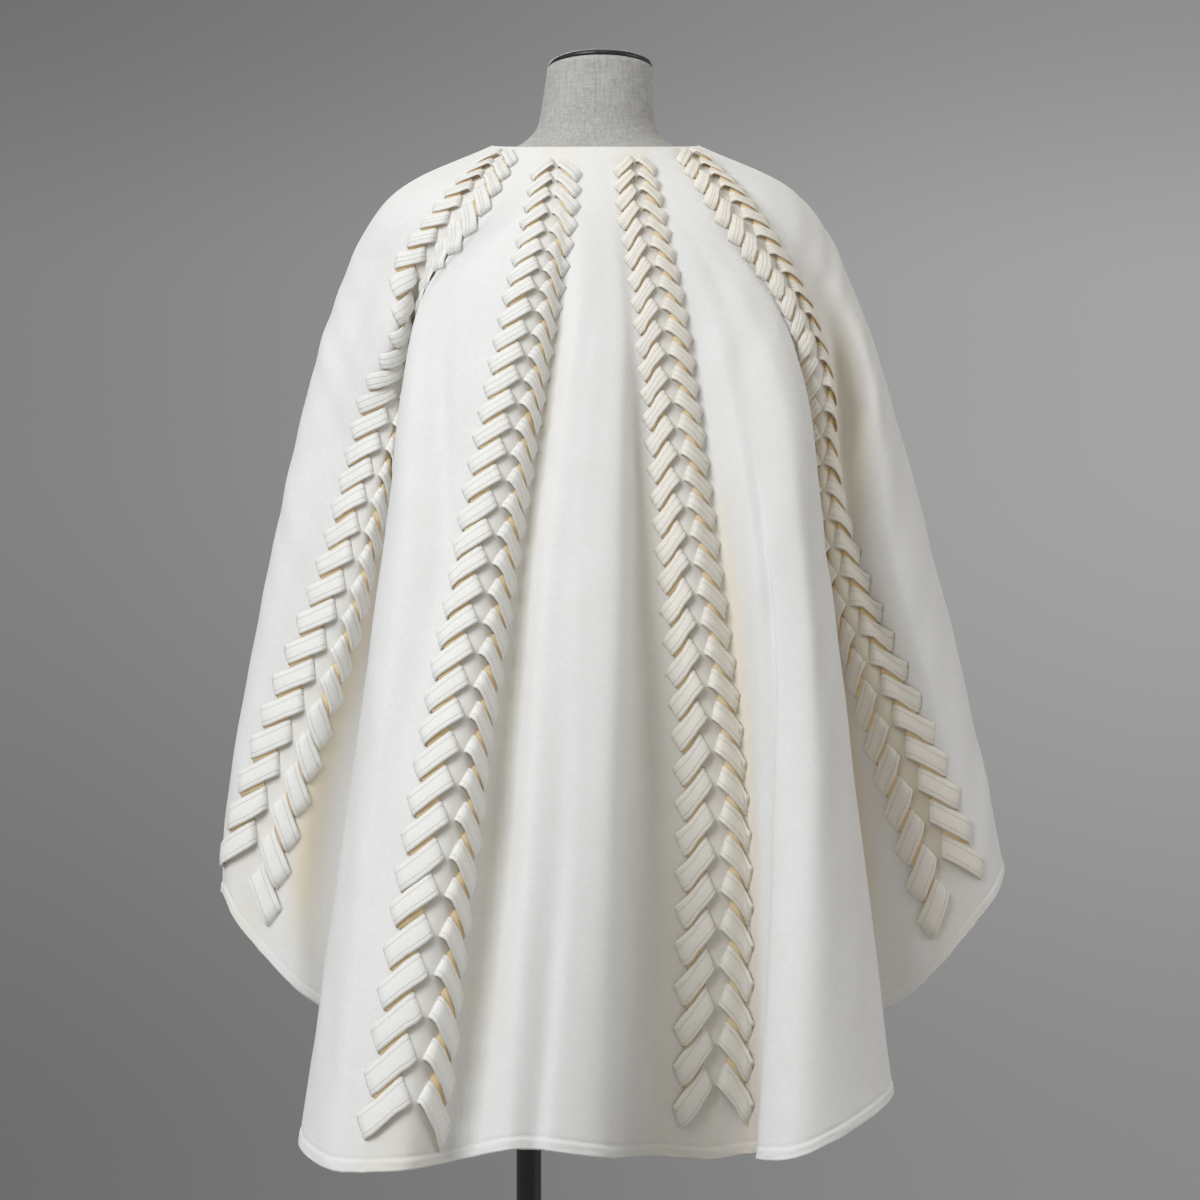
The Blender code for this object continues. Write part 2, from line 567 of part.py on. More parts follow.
def finish_primitive(collection, name, material):
    """Name the new primitive, dress it and move it to the coat's collection."""
    obj = bpy.context.object
    obj.name = name
    obj.data.name = name
    obj.data.materials.append(material)
    obj.data.shade_smooth()
    obj.data.set_sharp_from_angle(angle=math.radians(40))
    for holder in list(obj.users_collection):
        holder.objects.unlink(obj)
    collection.objects.link(obj)


# ---- the coat ----
def make_coat(collection, wool, tab_wool):
    """Make the parts of the cloth and the rows of laced tabs on them."""
    lines = all_lines()
    table, totals = line_table(lines, ROWS)
    lengths = dict(zip([fold.name for fold in lines], totals))
    braid_lines = {braid.line: braid for braid in BRAIDS}
    for part in PARTS:
        grid, normals = build_part(part, lines, table, totals, braid_lines)
        make_part(collection, part.name, grid, normals, wool)
        centre = 0
        for k, line in enumerate(part.lines):
            braid = braid_lines.get(line)
            if braid and k > 0:
                make_tabs(collection, braid, "a", grid, normals, centre, -1, lengths[line], tab_wool)
            if braid and k < len(part.columns):
                make_tabs(collection, braid, "b", grid, normals, centre, 1, lengths[line], tab_wool)
            if k < len(part.columns):
                after = part.lines[k + 1] in braid_lines
                centre += part.columns[k] + 2 * (line in braid_lines) + 2 * after


def make_tabs(collection, braid, row, grid, normals, centre, side, length, material):
    """Make one row of a braid's tabs, on the cloth's columns to one side of the braid's centre."""
    near = [centre, centre + side, centre + 2 * side]
    points, faces = tab_row(grid.transpose(1, 0, 2)[near], normals.transpose(1, 0, 2)[near],
                            side, length, braid.pitches)
    triangulated(add_mesh(collection, f"tabs_{braid.name}_{row}", points, faces, material))


def main():
    """Build the coat on its dress form."""
    clear_scene()
    collection = make_collection()
    wool = make_material("ivory double-faced wool", (0.80, 0.79, 0.75), 0.9)
    tab_wool = make_material("ivory wool strip", (0.80, 0.77, 0.68), 0.9)
    linen = make_material("grey-white linen", (0.58, 0.57, 0.54), 0.85)
    black = make_material("black lacquered steel", (0.012, 0.012, 0.013), 0.4, 0.0)
    make_coat(collection, wool, tab_wool)
    make_form(collection, linen, black)
    make_stand(collection, black)


main()
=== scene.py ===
"""Dresses the wool cape coat: fine cloth, laced tabs, dress form, stand, light and camera.

Frame: metres, +Z up, origin on the floor under the pole. The coat's back faces -Y and the wearer's
right is +X. The cloth is one wide cape: a section of its whole girth is a smooth curve through the
fold lines of a table, and every fold line hangs from the neck ring over the shoulder ring.
"""
from __future__ import annotations

import logging
import math
from dataclasses import dataclass, field
from enum import Enum
from typing import Any, Callable, NamedTuple, Sequence

import bpy
import numpy as np
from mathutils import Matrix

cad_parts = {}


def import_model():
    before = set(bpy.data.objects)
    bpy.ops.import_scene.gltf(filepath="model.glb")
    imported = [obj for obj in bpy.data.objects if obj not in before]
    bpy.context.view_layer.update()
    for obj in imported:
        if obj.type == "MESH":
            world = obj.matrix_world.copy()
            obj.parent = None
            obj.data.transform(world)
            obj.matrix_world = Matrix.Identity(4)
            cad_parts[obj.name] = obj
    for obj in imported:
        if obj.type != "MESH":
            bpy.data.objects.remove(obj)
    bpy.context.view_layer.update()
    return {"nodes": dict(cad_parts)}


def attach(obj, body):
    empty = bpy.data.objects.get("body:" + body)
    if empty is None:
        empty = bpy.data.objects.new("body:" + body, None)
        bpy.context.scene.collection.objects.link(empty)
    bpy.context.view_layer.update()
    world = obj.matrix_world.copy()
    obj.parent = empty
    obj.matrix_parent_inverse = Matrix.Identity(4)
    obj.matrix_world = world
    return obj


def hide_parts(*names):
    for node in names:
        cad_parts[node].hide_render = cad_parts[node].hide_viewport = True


LOG = logging.getLogger("wool_cape_coat")
Array = np.ndarray
Pair = tuple[float, float]
Triple = tuple[float, float, float]
Material = bpy.types.Material
Object = bpy.types.Object
Socket = bpy.types.NodeSocket
BODY = "root"
FULL_TURN = 2.0 * math.pi


# ---- tables ----
def table(kind: Callable[..., Any], plain: int, rows: Sequence[tuple]) -> list[Any]:
    """Return a record for each row; after its first, plain cells, a row is in thousandths."""
    return [kind(*row[:plain], *(round(size / 1000.0, 7) for size in row[plain:])) for row in rows]


class Fold(NamedTuple):
    """A fold line: degrees round the neck from the centre back, then where it passes and ends.

    In the table of a front, each X is a share of the side seam's own X at that height.
    """

    name: str
    turn: float
    yoke_x: float
    yoke_y: float
    waist_x: float
    waist_y: float
    hip_x: float
    hip_y: float
    hem_x: float
    hem_y: float
    hem_z: float


BACK_FOLDS = table(Fold, 2, [
    ("left side seam", -93, -250.5, 22, -312.7, 30, -352.5, 35, -356, 45, 705),
    ("left wing edge", -85, -251.8, 0, -316.7, 4, -355.5, 8, -361, 14, 701),
    ("left wing crest", -76, -226, -36, -296, -28, -344, -14, -357, -6, 698),
    ("left arm hollow", -67, -195, -58, -268, -38, -330, -24, -352, -14, 689),
    ("braid 1", -56, -181.6, -80, -232.4, -55, -311, -30, -344, -22, 675),
    ("left wing inside", -50, -173, -85, -216, -40, -273, -38, -286.5, -41, 613),
    ("left valley", -46, -168.5, -91.5, -198.5, -18, -229, -4, -242, -8, 575),
    ("left valley wall", -43, -164.5, -96.5, -193, -72, -216, -82, -236, -96, 530),
    ("left flute edge", -40, -159, -100, -201.7, -140, -230.6, -170, -271, -200, 490),
    ("left flute crest", -37, -153, -104, -181, -183, -208.2, -222, -239, -278, 474.3),
    ("left flute dip", -32, -138.5, -112, -146.4, -193, -186.9, -234, -216, -290, 473.6),
    ("left flute inside", -27, -112.1, -134, -132.7, -201, -164.8, -248, -204, -295, 474.4),
    ("braid 2", -20.5, -57.7, -150, -101, -208, -132.1, -256, -171.4, -298, 476.6),
    ("valley by braid 2", -13.5, -37, -135, -69, -175, -91, -204, -123, -249, 479.6),
    ("centre crest", -8, -18.3, -147, -49.6, -201, -62.5, -243, -81.4, -277, 491.9),
    ("centre dip", -3.5, -4.6, -148, -28.8, -205.5, -34.9, -243, -56.7, -269, 491.3),
    ("centre crest 2", 1, 6.4, -147, -12, -208.5, -16.5, -249, -41.5, -276, 490.4),
    ("centre turn", 5, 19, -145.5, 16.5, -204.5, 11, -243, 4, -259, 482.4),
    ("centre valley wall", 12, 29, -137, 40.8, -159, 50.1, -158, 50, -159, 470.8),
    ("braid 3", 20.6, 52.6, -141, 84.5, -164, 106.5, -152, 102.6, -113, 462),
    ("valley by braid 3", 25.2, 77, -132, 114, -148, 134, -139, 137, -107, 466),
    ("right strip", 29, 96.3, -136, 142, -188, 147.2, -174, 152, -136, 470),
    ("right fold inside", 31.5, 105, -134.5, 153, -190.5, 166, -186, 179, -165, 470),
    ("right fold edge", 34, 112.3, -132, 156, -196, 155.6, -213, 140, -236, 477.9),
    ("right flute crest", 37, 124.6, -129, 183.5, -196.5, 188, -239, 173, -281, 485),
    ("right flute side", 41.5, 144, -118, 198.5, -172, 218, -212, 218.5, -258, 502.8),
    ("right flute edge", 45.5, 154.5, -107, 210.2, -135, 236.5, -155, 265.8, -180, 531.1),
    ("right valley wall", 48.7, 157.5, -103.5, 201.5, -82, 223, -76, 240, -87, 548),
    ("right valley", 51, 160, -100.5, 205.5, -35, 229, -10, 242, -14, 571),
    ("right wing inside", 53, 162, -98.5, 214.5, -44, 266.5, -26, 297.5, -37, 612),
    ("braid 4", 56.5, 164.5, -95.5, 224, -57, 303.6, -32, 345, -22, 661),
    ("right arm hollow", 68, 201.5, -61, 248, -36, 329, -29, 362, -15, 681),
    ("right wing crest", 77, 226.3, -34, 280, -52, 350, -22, 374.5, -9, 696),
    ("right wing edge", 86, 246, 0, 321.5, 4, 373.5, 8, 386, 18, 719),
    ("right side seam", 94, 244.5, 22, 318.5, 30, 370.5, 36, 382, 50, 723),
])

FRONT_FOLDS = table(Fold, 2, [
    ("wing crest", 103, 900, 50, 930, 50, 970, 50, 985, 62, 705),
    ("outer braid", 115, 730, 88, 760, 74, 870, 68, 930, 86, 690),
    ("wing inside", 122, 675, 96, 680, 68, 740, 76, 780, 88, 630),
    ("valley", 127, 650, 100, 625, 60, 600, 66, 620, 80, 580),
    ("flute edge", 132, 620, 105, 615, 125, 640, 160, 720, 195, 505),
    ("flute crest", 138, 560, 113, 530, 172, 560, 215, 620, 258, 480),
    ("flute inside", 145, 450, 124, 420, 186, 450, 234, 480, 282, 474),
    ("inner braid", 153, 310, 138, 310, 192, 330, 240, 350, 286, 472),
    ("front dip", 161, 200, 140, 200, 178, 215, 212, 235, 246, 472),
    ("front crest", 169, 105, 145, 105, 192, 115, 234, 120, 268, 472),
    ("front edge", 177, 25, 146, 28, 194, 34, 240, 40, 280, 472),
])


class Tuck(NamedTuple):
    """A fold line drawn aside, most at one height and less within a reach above and below it."""

    line: str
    z: float
    reach: float
    x: float
    y: float


TUCKS = table(Tuck, 1, [
    ("left wing crest", 1222, 60, 1, -4), ("left arm hollow", 1225, 60, 16, -24),
    ("braid 1", 1225, 60, 10, 26), ("braid 1", 1150, 60, 10, 8),
    ("left wing inside", 1210, 65, 18, 30), ("left valley", 1195, 75, 12, 26),
    ("centre valley wall", 1215, 60, 0, -6), ("right flute crest", 1160, 100, 12, -3),
    ("right flute side", 1160, 100, 12, -2), ("right flute edge", 1170, 100, 10, -3),
    ("right valley wall", 1200, 70, 7, -8), ("right valley", 1225, 60, 8, -14),
    ("right wing inside", 1220, 65, 12, -14), ("braid 4", 1200, 90, 21, -5),
    ("right arm hollow", 1175, 90, 10, 22), ("right wing crest", 1180, 90, 9, -10),
    ("right valley", 1095, 60, 2, 20), ("right wing inside", 1095, 60, 2, 12),
])


class Crease(NamedTuple):
    """A soft trough (negative depth) or ridge, along a fold line and to one side of it."""

    line: str
    aside: float
    drift: float
    top: float
    foot: float
    width: float
    depth: float


CREASES = table(Crease, 1, [
    ("left arm hollow", 0, 20, 20, 340, 11, -1.6), ("left arm hollow", 30, 10, 40, 260, 8, 1),
    ("left flute dip", 2, 12, 120, 620, 16, -2.4), ("left flute dip", -15, 20, 100, 500, 10, 1),
    ("left flute crest", 30, 30, 350, 980, 18, 1.4), ("braid 2", 62, 20, 80, 600, 12, -1),
    ("centre crest", 18, 12, 100, 800, 11, 0.6), ("centre dip", 10, 20, 450, 1000, 10, -0.8),
    ("centre turn", 16, 10, 50, 550, 9, 0.9), ("right flute side", 0, 0, 250, 970, 20, -2.2),
    ("right flute crest", 20, 10, 120, 600, 10, 1), ("right arm hollow", 0, 10, 20, 360, 11, -1.6),
    ("right arm hollow", -28, 0, 50, 300, 9, 1), ("right wing crest", 0, -20, 300, 950, 22, -1.8),
    ("left wing crest", 0, 20, 300, 950, 22, -1.8), ("left wing crest", 4, 0, 120, 580, 20, -4),
    ("flute inside left", 10, 10, 150, 900, 14, -1.4),
    ("flute inside right", -10, -10, 150, 900, 14, -1.4),
    ("front dip left", 4, 10, 100, 800, 10, 1.2), ("front dip right", -4, -10, 100, 800, 10, 1.2),
])


class PaintedShade(NamedTuple):
    """Painted warm shade on the cloth, along a fold line and to one side of it."""

    line: str
    aside: float
    top: float
    foot: float
    width: float
    amount: float


# Where the cloth gets painted warm shade: in its valleys and arm hollows, and beside the braids.
PAINTED_SHADES = table(PaintedShade, 1, [
    ("left wing inside", 0, 300, 1000, 24, 850), ("valley by braid 2", -4, 50, 1000, 18, 250),
    ("centre valley wall", 16, 200, 1150, 36, 260), ("braid 3", 0, 350, 1150, 24, 340),
    ("braid 3", 38, 280, 1150, 14, 600), ("right valley", 4, 250, 980, 26, 900),
    ("braid 4", 0, 250, 1000, 26, 750), ("right arm hollow", -2, 150, 620, 24, 420),
])


# ---- curves on whole arrays ----
def blend(low: Array, high: Array, t: Array, t_low: Array, t_high: Array) -> Array:
    """Return the straight mix of low and high at t, between t_low and t_high."""
    return ((t_high - t) * low + (t - t_low) * high) / (t_high - t_low)


def smooth_path(points: Array, steps: int) -> Array:
    """Return centripetal Catmull-Rom curves through points, all at once.

    Each span between two points is the usual pyramid of six straight mixes of its four nearest
    points, whose knots lie the square root of their distances apart.

    Args:
        points: The points, first axis along the curve, last axis the coordinates.
        steps: Steps to each span.

    Returns:
        The curve's points, (spans * steps + 1) along the first axis.
    """
    before, after = 2.0 * points[:1] - points[1:2], 2.0 * points[-1:] - points[-2:-1]
    knots = np.concatenate([before, points, after])
    gaps = np.sqrt(np.linalg.norm(np.diff(knots, axis=0), axis=-1)) + 1e-9
    at = np.concatenate([np.zeros_like(gaps[:1]), np.cumsum(gaps, axis=0)])[..., None]
    p0, p1, p2, p3 = (knots[k:len(knots) - 3 + k, None] for k in range(4))
    t0, t1, t2, t3 = (at[k:len(at) - 3 + k, None] for k in range(4))
    share = (np.arange(steps) / steps).reshape((1, steps) + (1,) * (points.ndim - 1))
    t = t1 + share * (t2 - t1)
    a1, a2, a3 = blend(p0, p1, t, t0, t1), blend(p1, p2, t, t1, t2), blend(p2, p3, t, t2, t3)
    spans = blend(blend(a1, a2, t, t0, t2), blend(a2, a3, t, t1, t3), t, t1, t2)
    return np.concatenate([spans.reshape((-1,) + points.shape[1:]), points[-1:]])


def lengths_along(path: Array) -> Array:
    """Return the distance along each curve at each point; the first axis runs along it."""
    step = np.linalg.norm(np.diff(path, axis=0), axis=-1)
    return np.concatenate([np.zeros_like(step[:1]), np.cumsum(step, axis=0)])


def points_at(path: Array, at: Array, wanted: Array) -> Array:
    """Return the points of one curve where its parameter has the wanted values."""
    return np.stack([np.interp(wanted, at, axis) for axis in path.T], axis=-1)


def unit(vectors: Array) -> Array:
    """Return the vectors at length one."""
    return vectors / np.maximum(np.linalg.norm(vectors, axis=-1, keepdims=True), 1e-12)


def smooth_step(value: Array, low: float, high: float) -> Array:
    """Return 0 below low, 1 above high and a smooth S between them."""
    t = np.clip((value - low) / (high - low), 0.0, 1.0)
    return t * t * (3.0 - 2.0 * t)


def softened(values: Array, spread: float) -> Array:
    """Return values smoothed along the first axis by a bell of that spread in steps.

    Both ends are carried on as their own mirror image through the end point, so they stay put.
    """
    reach = int(3 * spread) + 1
    bell = np.exp(-0.5 * (np.arange(-reach, reach + 1) / spread) ** 2)
    bell /= bell.sum()
    before = 2.0 * values[:1] - values[reach:0:-1]
    after = 2.0 * values[-1:] - values[-2:-reach - 2:-1]
    padded = np.concatenate([before, values, after])
    return sum(weight * padded[k:k + len(values)] for k, weight in enumerate(bell))


# ---- meshes ----
def add_piece(name: str, points: Array, faces: list, material: Material, slot: Slot,
              replaced: Sequence[str], attributes: dict[str, Array] | None = None,
              uv: Array | None = None) -> Object:
    """Make a smooth-shaded mesh piece that rides on the coat.

    Args:
        name: The piece's name.
        points: Its points, one row each.
        faces: Its faces, as point numbers.
        material: Its material.
        slot: The record's material slot; not used.
        replaced: The part's nodes that it stands for.
        attributes: A number for each point, by attribute name.
        uv: A pair for each point.

    Returns:
        The new object.
    """
    mesh = bpy.data.meshes.new(name)
    mesh.from_pydata(np.asarray(points).tolist(), [], faces)
    for key, values in (attributes or {}).items():
        layer = mesh.attributes.new(key, "FLOAT", "POINT")
        layer.data.foreach_set("value", np.ascontiguousarray(values, dtype=np.float32).ravel())
    if uv is not None:
        corners = np.empty(len(mesh.loops), dtype=np.int32)
        mesh.loops.foreach_get("vertex_index", corners)
        layer = mesh.uv_layers.new(name="UVMap")
        layer.data.foreach_set("uv", uv[corners].astype(np.float32).ravel())
    mesh.materials.append(material)
    mesh.shade_smooth()
    mesh.update()
    obj = bpy.data.objects.new(name, mesh)
    bpy.context.scene.collection.objects.link(obj)
    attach(obj, BODY)
    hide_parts(*replaced)
    return obj


def grid_faces(rows: int, columns: int, start: int = 0, turned: bool = False) -> list[list[int]]:
    """Return the quads of a grid of points, row by row; turned ones face the other way."""
    r, c = np.meshgrid(np.arange(rows - 1), np.arange(columns - 1), indexing="ij")
    a = (start + r * columns + c).ravel()
    quads = np.stack([a, a + columns, a + columns + 1, a + 1], axis=-1)
    return (quads[:, ::-1] if turned else quads).tolist()


def ring_faces(rows: int, count: int) -> Array:
    """Return the quads of a loft through closed rings of count points each."""
    r, c = np.meshgrid(np.arange(rows - 1), np.arange(count), indexing="ij")
    a, b = r * count + c, r * count + (c + 1) % count
    return np.stack([a, b, b + count, a + count], axis=-1).reshape(-1, 4)


# ---- the cape ----
class Slot(Enum):
    """The record's material slots."""

    WOOL = "wool"
    TABS = "tabs"
    LINEN = "linen"
    CAP = "black_cap"


class Side(Enum):
    """Which side of the wearer a piece is on, with the sign of its X."""

    LEFT = -1
    RIGHT = 1


class Ring(NamedTuple):
    """A level ring round the neck or the shoulders."""

    half_width: float
    back: float
    front: float
    side_z: float
    back_z: float
    front_z: float


class CapeRows(NamedTuple):
    """The cape's girth at some rows: curves, distances along them and the fold lines' places."""

    shares: Array
    curve: Array
    distance: Array
    stops: Array


@dataclass
class CapeShape:
    """The whole cape as one surface, from its fold lines and its soft creases.

    The fold lines are laid out from the left front edge round the back to the right one.
    """

    form_x: float = 0.0675
    ring_x: float = -0.004
    neck: Ring = Ring(0.0980, 0.0850, 0.0820, 1.4100, 1.3990, 1.3760)
    shoulder: Ring = Ring(0.1960, 0.1190, 0.1160, 1.3625, 1.3440, 1.3280)
    back_fall: float = 0.8
    front_fall: float = 1.4
    shoulder_turn: float = 0.57
    yoke_z: float = 1.260
    waist_z: float = 1.000
    hip_z: float = 0.780
    span_steps: int = 12
    line_steps: int = 48
    path_steps: int = 401
    path_spread: float = 7.0
    cloth: float = 0.0025
    hem_turning: float = 0.0085
    hem_rise: float = 0.0009
    hem_band: Pair = (-0.0012, 0.0018)
    pucker: float = 0.000175
    pucker_reach: float = 0.012
    puckers: tuple[Pair, ...] = ((0.011, 0.4), (0.017, 2.1), (0.0073, 1.0), (0.029, 4.0))
    groove: float = 0.0006
    groove_up: float = 0.0015
    groove_width: float = 0.0016
    stitch: float = 0.0125
    stitch_share: float = 0.4
    crease_grow: Pair = (0.6, 0.8)
    crease_fade: float = 0.35
    wave_count: int = 14
    wave_height: float = 0.00022
    wave_across: Pair = (0.05, 0.16)
    wave_along: Pair = (0.25, 0.60)
    wave_fade: Pair = (0.03, 0.25)
    wave_drift: float = 1.2
    spread_top: float = 0.0195
    spread_gain: float = 0.0265
    spread_length: float = 0.75
    spread_power: float = 0.62
    seed: int = 7

    def __post_init__(self) -> None:
        """Lay out the fold lines, with their tucks, even in distance and a little smoothed."""
        left = self.front_folds(BACK_FOLDS[0], Side.LEFT)
        right = self.front_folds(BACK_FOLDS[-1], Side.RIGHT)
        self.folds = left[::-1] + BACK_FOLDS + right
        stations = np.stack([self.stations(fold) for fold in self.folds], axis=1)
        path = smooth_path(stations, self.line_steps)
        for tuck in TUCKS:
            line = path[:, self.index(tuck.line)]
            bell = np.exp(-((line[:, 2] - tuck.z) / tuck.reach) ** 2)
            line[:, 0] += tuck.x * bell
            line[:, 1] += tuck.y * bell
        distance = lengths_along(path)
        self.totals = distance[-1]
        self.length = float(self.totals.mean())
        even = np.linspace(0.0, 1.0, self.path_steps)
        lines = [points_at(path[:, k], distance[:, k] / distance[-1, k], even)
                 for k in range(len(self.folds))]
        self.paths = softened(np.stack(lines, axis=1), self.path_spread)
        self.paths[..., 0] += self.form_x

    def front_folds(self, seam: Fold, side: Side) -> list[Fold]:
        """Return the fold lines of one front, from its side seam to its edge."""
        return [
            Fold(f"{row.name} {side.name.lower()}", side.value * row.turn,
                 row.yoke_x * seam.yoke_x, row.yoke_y, row.waist_x * seam.waist_x, row.waist_y,
                 row.hip_x * seam.hip_x, row.hip_y, row.hem_x * seam.hem_x, row.hem_y, row.hem_z)
            for row in FRONT_FOLDS
        ]

    def ring_point(self, ring: Ring, turn: float) -> Triple:
        """Return the point of a ring at a turn in degrees from the centre back."""
        angle = math.radians(turn)
        cosine = math.cos(angle)
        depth, middle, fall = ((ring.back, ring.back_z, self.back_fall) if cosine > 0
                               else (ring.front, ring.front_z, self.front_fall))
        z = ring.side_z + (middle - ring.side_z) * abs(cosine) ** fall
        return (self.ring_x + ring.half_width * math.sin(angle), -depth * cosine, z)

    def stations(self, fold: Fold) -> Array:
        """Return the six points that a fold line passes, from neck to hem."""
        turn = abs(fold.turn)
        side = min(turn, 180.0 - turn)
        side *= self.shoulder_turn + (1.0 - self.shoulder_turn) * (side / 90.0) ** 3
        shoulder_turn = math.copysign(side if turn <= 90.0 else 180.0 - side, fold.turn)
        return np.array([
            self.ring_point(self.neck, fold.turn),
            self.ring_point(self.shoulder, shoulder_turn),
            (fold.yoke_x, fold.yoke_y, self.yoke_z),
            (fold.waist_x, fold.waist_y, self.waist_z),
            (fold.hip_x, fold.hip_y, self.hip_z),
            (fold.hem_x, fold.hem_y, fold.hem_z),
        ])

    def index(self, name: str) -> int:
        """Return the number of a fold line, by its name."""
        return [fold.name for fold in self.folds].index(name)

    def braid_half_width(self, rows: CapeRows, line: int) -> Array:
        """Return a braid's half width at each row: a power of the distance down its fold line."""
        share = rows.shares * self.totals[line] / self.spread_length
        return self.spread_top + self.spread_gain * share ** self.spread_power

    def rows(self, shares: Array) -> CapeRows:
        """Return the cape's girth, a fine smooth curve through the fold lines for each row.

        Args:
            shares: The rows' shares of the length, from 0 at the neck to 1 at the hem.

        Returns:
            The rows.
        """
        even = np.linspace(0.0, 1.0, len(self.paths))
        at = np.interp(shares, even, np.arange(len(even)))
        low = np.minimum(at.astype(int), len(even) - 2)
        part = (at - low)[:, None, None]
        points = (self.paths[low] * (1.0 - part) + self.paths[low + 1] * part).transpose(1, 0, 2)
        curve = smooth_path(points, self.span_steps)
        distance = lengths_along(curve)
        return CapeRows(shares, curve, distance, distance[::self.span_steps])

    def relief(self, rows: CapeRows, distance: Array) -> Array:
        """Return how far the cloth stands out: the sum of creases, faint waves and the hem's edge.

        Args:
            rows: The rows.
            distance: Places along each row, in metres, one row of numbers for each.

        Returns:
            The height in metres at each place.
        """
        share = rows.shares[:, None]
        return self.creases(rows, distance) + self.waves(rows, distance) + self.hem(share, distance)

    def creases(self, rows: CapeRows, distance: Array) -> Array:
        """Return the sum of all creases: a bell across, faded in and out along."""
        share = rows.shares[:, None]
        grow = self.crease_grow[0] + self.crease_grow[1] * share
        height = np.zeros_like(distance)
        for crease in CREASES:
            line = rows.stops[self.index(crease.line)][:, None]
            centre = line + crease.aside + crease.drift * share
            reach = self.crease_fade * (crease.foot - crease.top)
            fade = (smooth_step(share, crease.top, crease.top + reach)
                    * smooth_step(-share, -crease.foot, -crease.foot + reach))
            bell = np.exp(-((distance - centre) / (crease.width * grow)) ** 2)
            height += crease.depth * grow * fade * bell
        return height

    def waves(self, rows: CapeRows, distance: Array) -> Array:
        """Return the sum of long faint waves with seeded lengths and phases."""
        share = rows.shares[:, None]
        across = distance - rows.distance[-1][:, None] * 0.5
        fade = self.wave_height * smooth_step(share, *self.wave_fade)
        random = np.random.default_rng(self.seed)
        height = np.zeros_like(distance)
        for _ in range(self.wave_count):
            wave, run = random.uniform(*self.wave_across), random.uniform(*self.wave_along)
            phase = random.uniform(0.0, FULL_TURN, 2)
            height += (fade * np.sin(FULL_TURN * across / wave + phase[0] + self.wave_drift * share)
                       * np.sin(FULL_TURN * share * self.length / run + phase[1]))
        return height

    def hem(self, share: Array, distance: Array) -> Array:
        """Return the turned-in edge: thicker, slightly puckered, under a sewn groove."""
        up = (1.0 - share) * self.length
        low, high = self.hem_band
        band = 1.0 - smooth_step(up, self.hem_turning + low, self.hem_turning + high)
        puckers = sum(np.sin(FULL_TURN * distance / wave + phase) for wave, phase in self.puckers)
        groove = np.exp(-((up - self.hem_turning - self.groove_up) / self.groove_width) ** 2)
        stitches = 1.0 + self.stitch_share * np.sin(FULL_TURN * distance / self.stitch)
        return (band * self.hem_rise + self.pucker * puckers * np.exp(-up / self.pucker_reach)
                - groove * self.groove * stitches)

    def surface(self, rows: CapeRows, distance: Array) -> tuple[Array, Array]:
        """Return the outer surface: the fine curves, raised by the relief along their normals.

        Args:
            rows: The rows.
            distance: Places along each row, in metres.

        Returns:
            Points and outward normals, row by row.
        """
        base = np.stack([points_at(rows.curve[:, r], rows.distance[:, r], distance[r])
                         for r in range(len(rows.shares))])
        points = base + self.normals(base) * self.relief(rows, distance)[..., None]
        return points, self.normals(points)

    @staticmethod
    def normals(grid: Array) -> Array:
        """Return outward normals: down the cloth crossed with along the girth."""
        return unit(np.cross(np.gradient(grid, axis=0), np.gradient(grid, axis=1)))


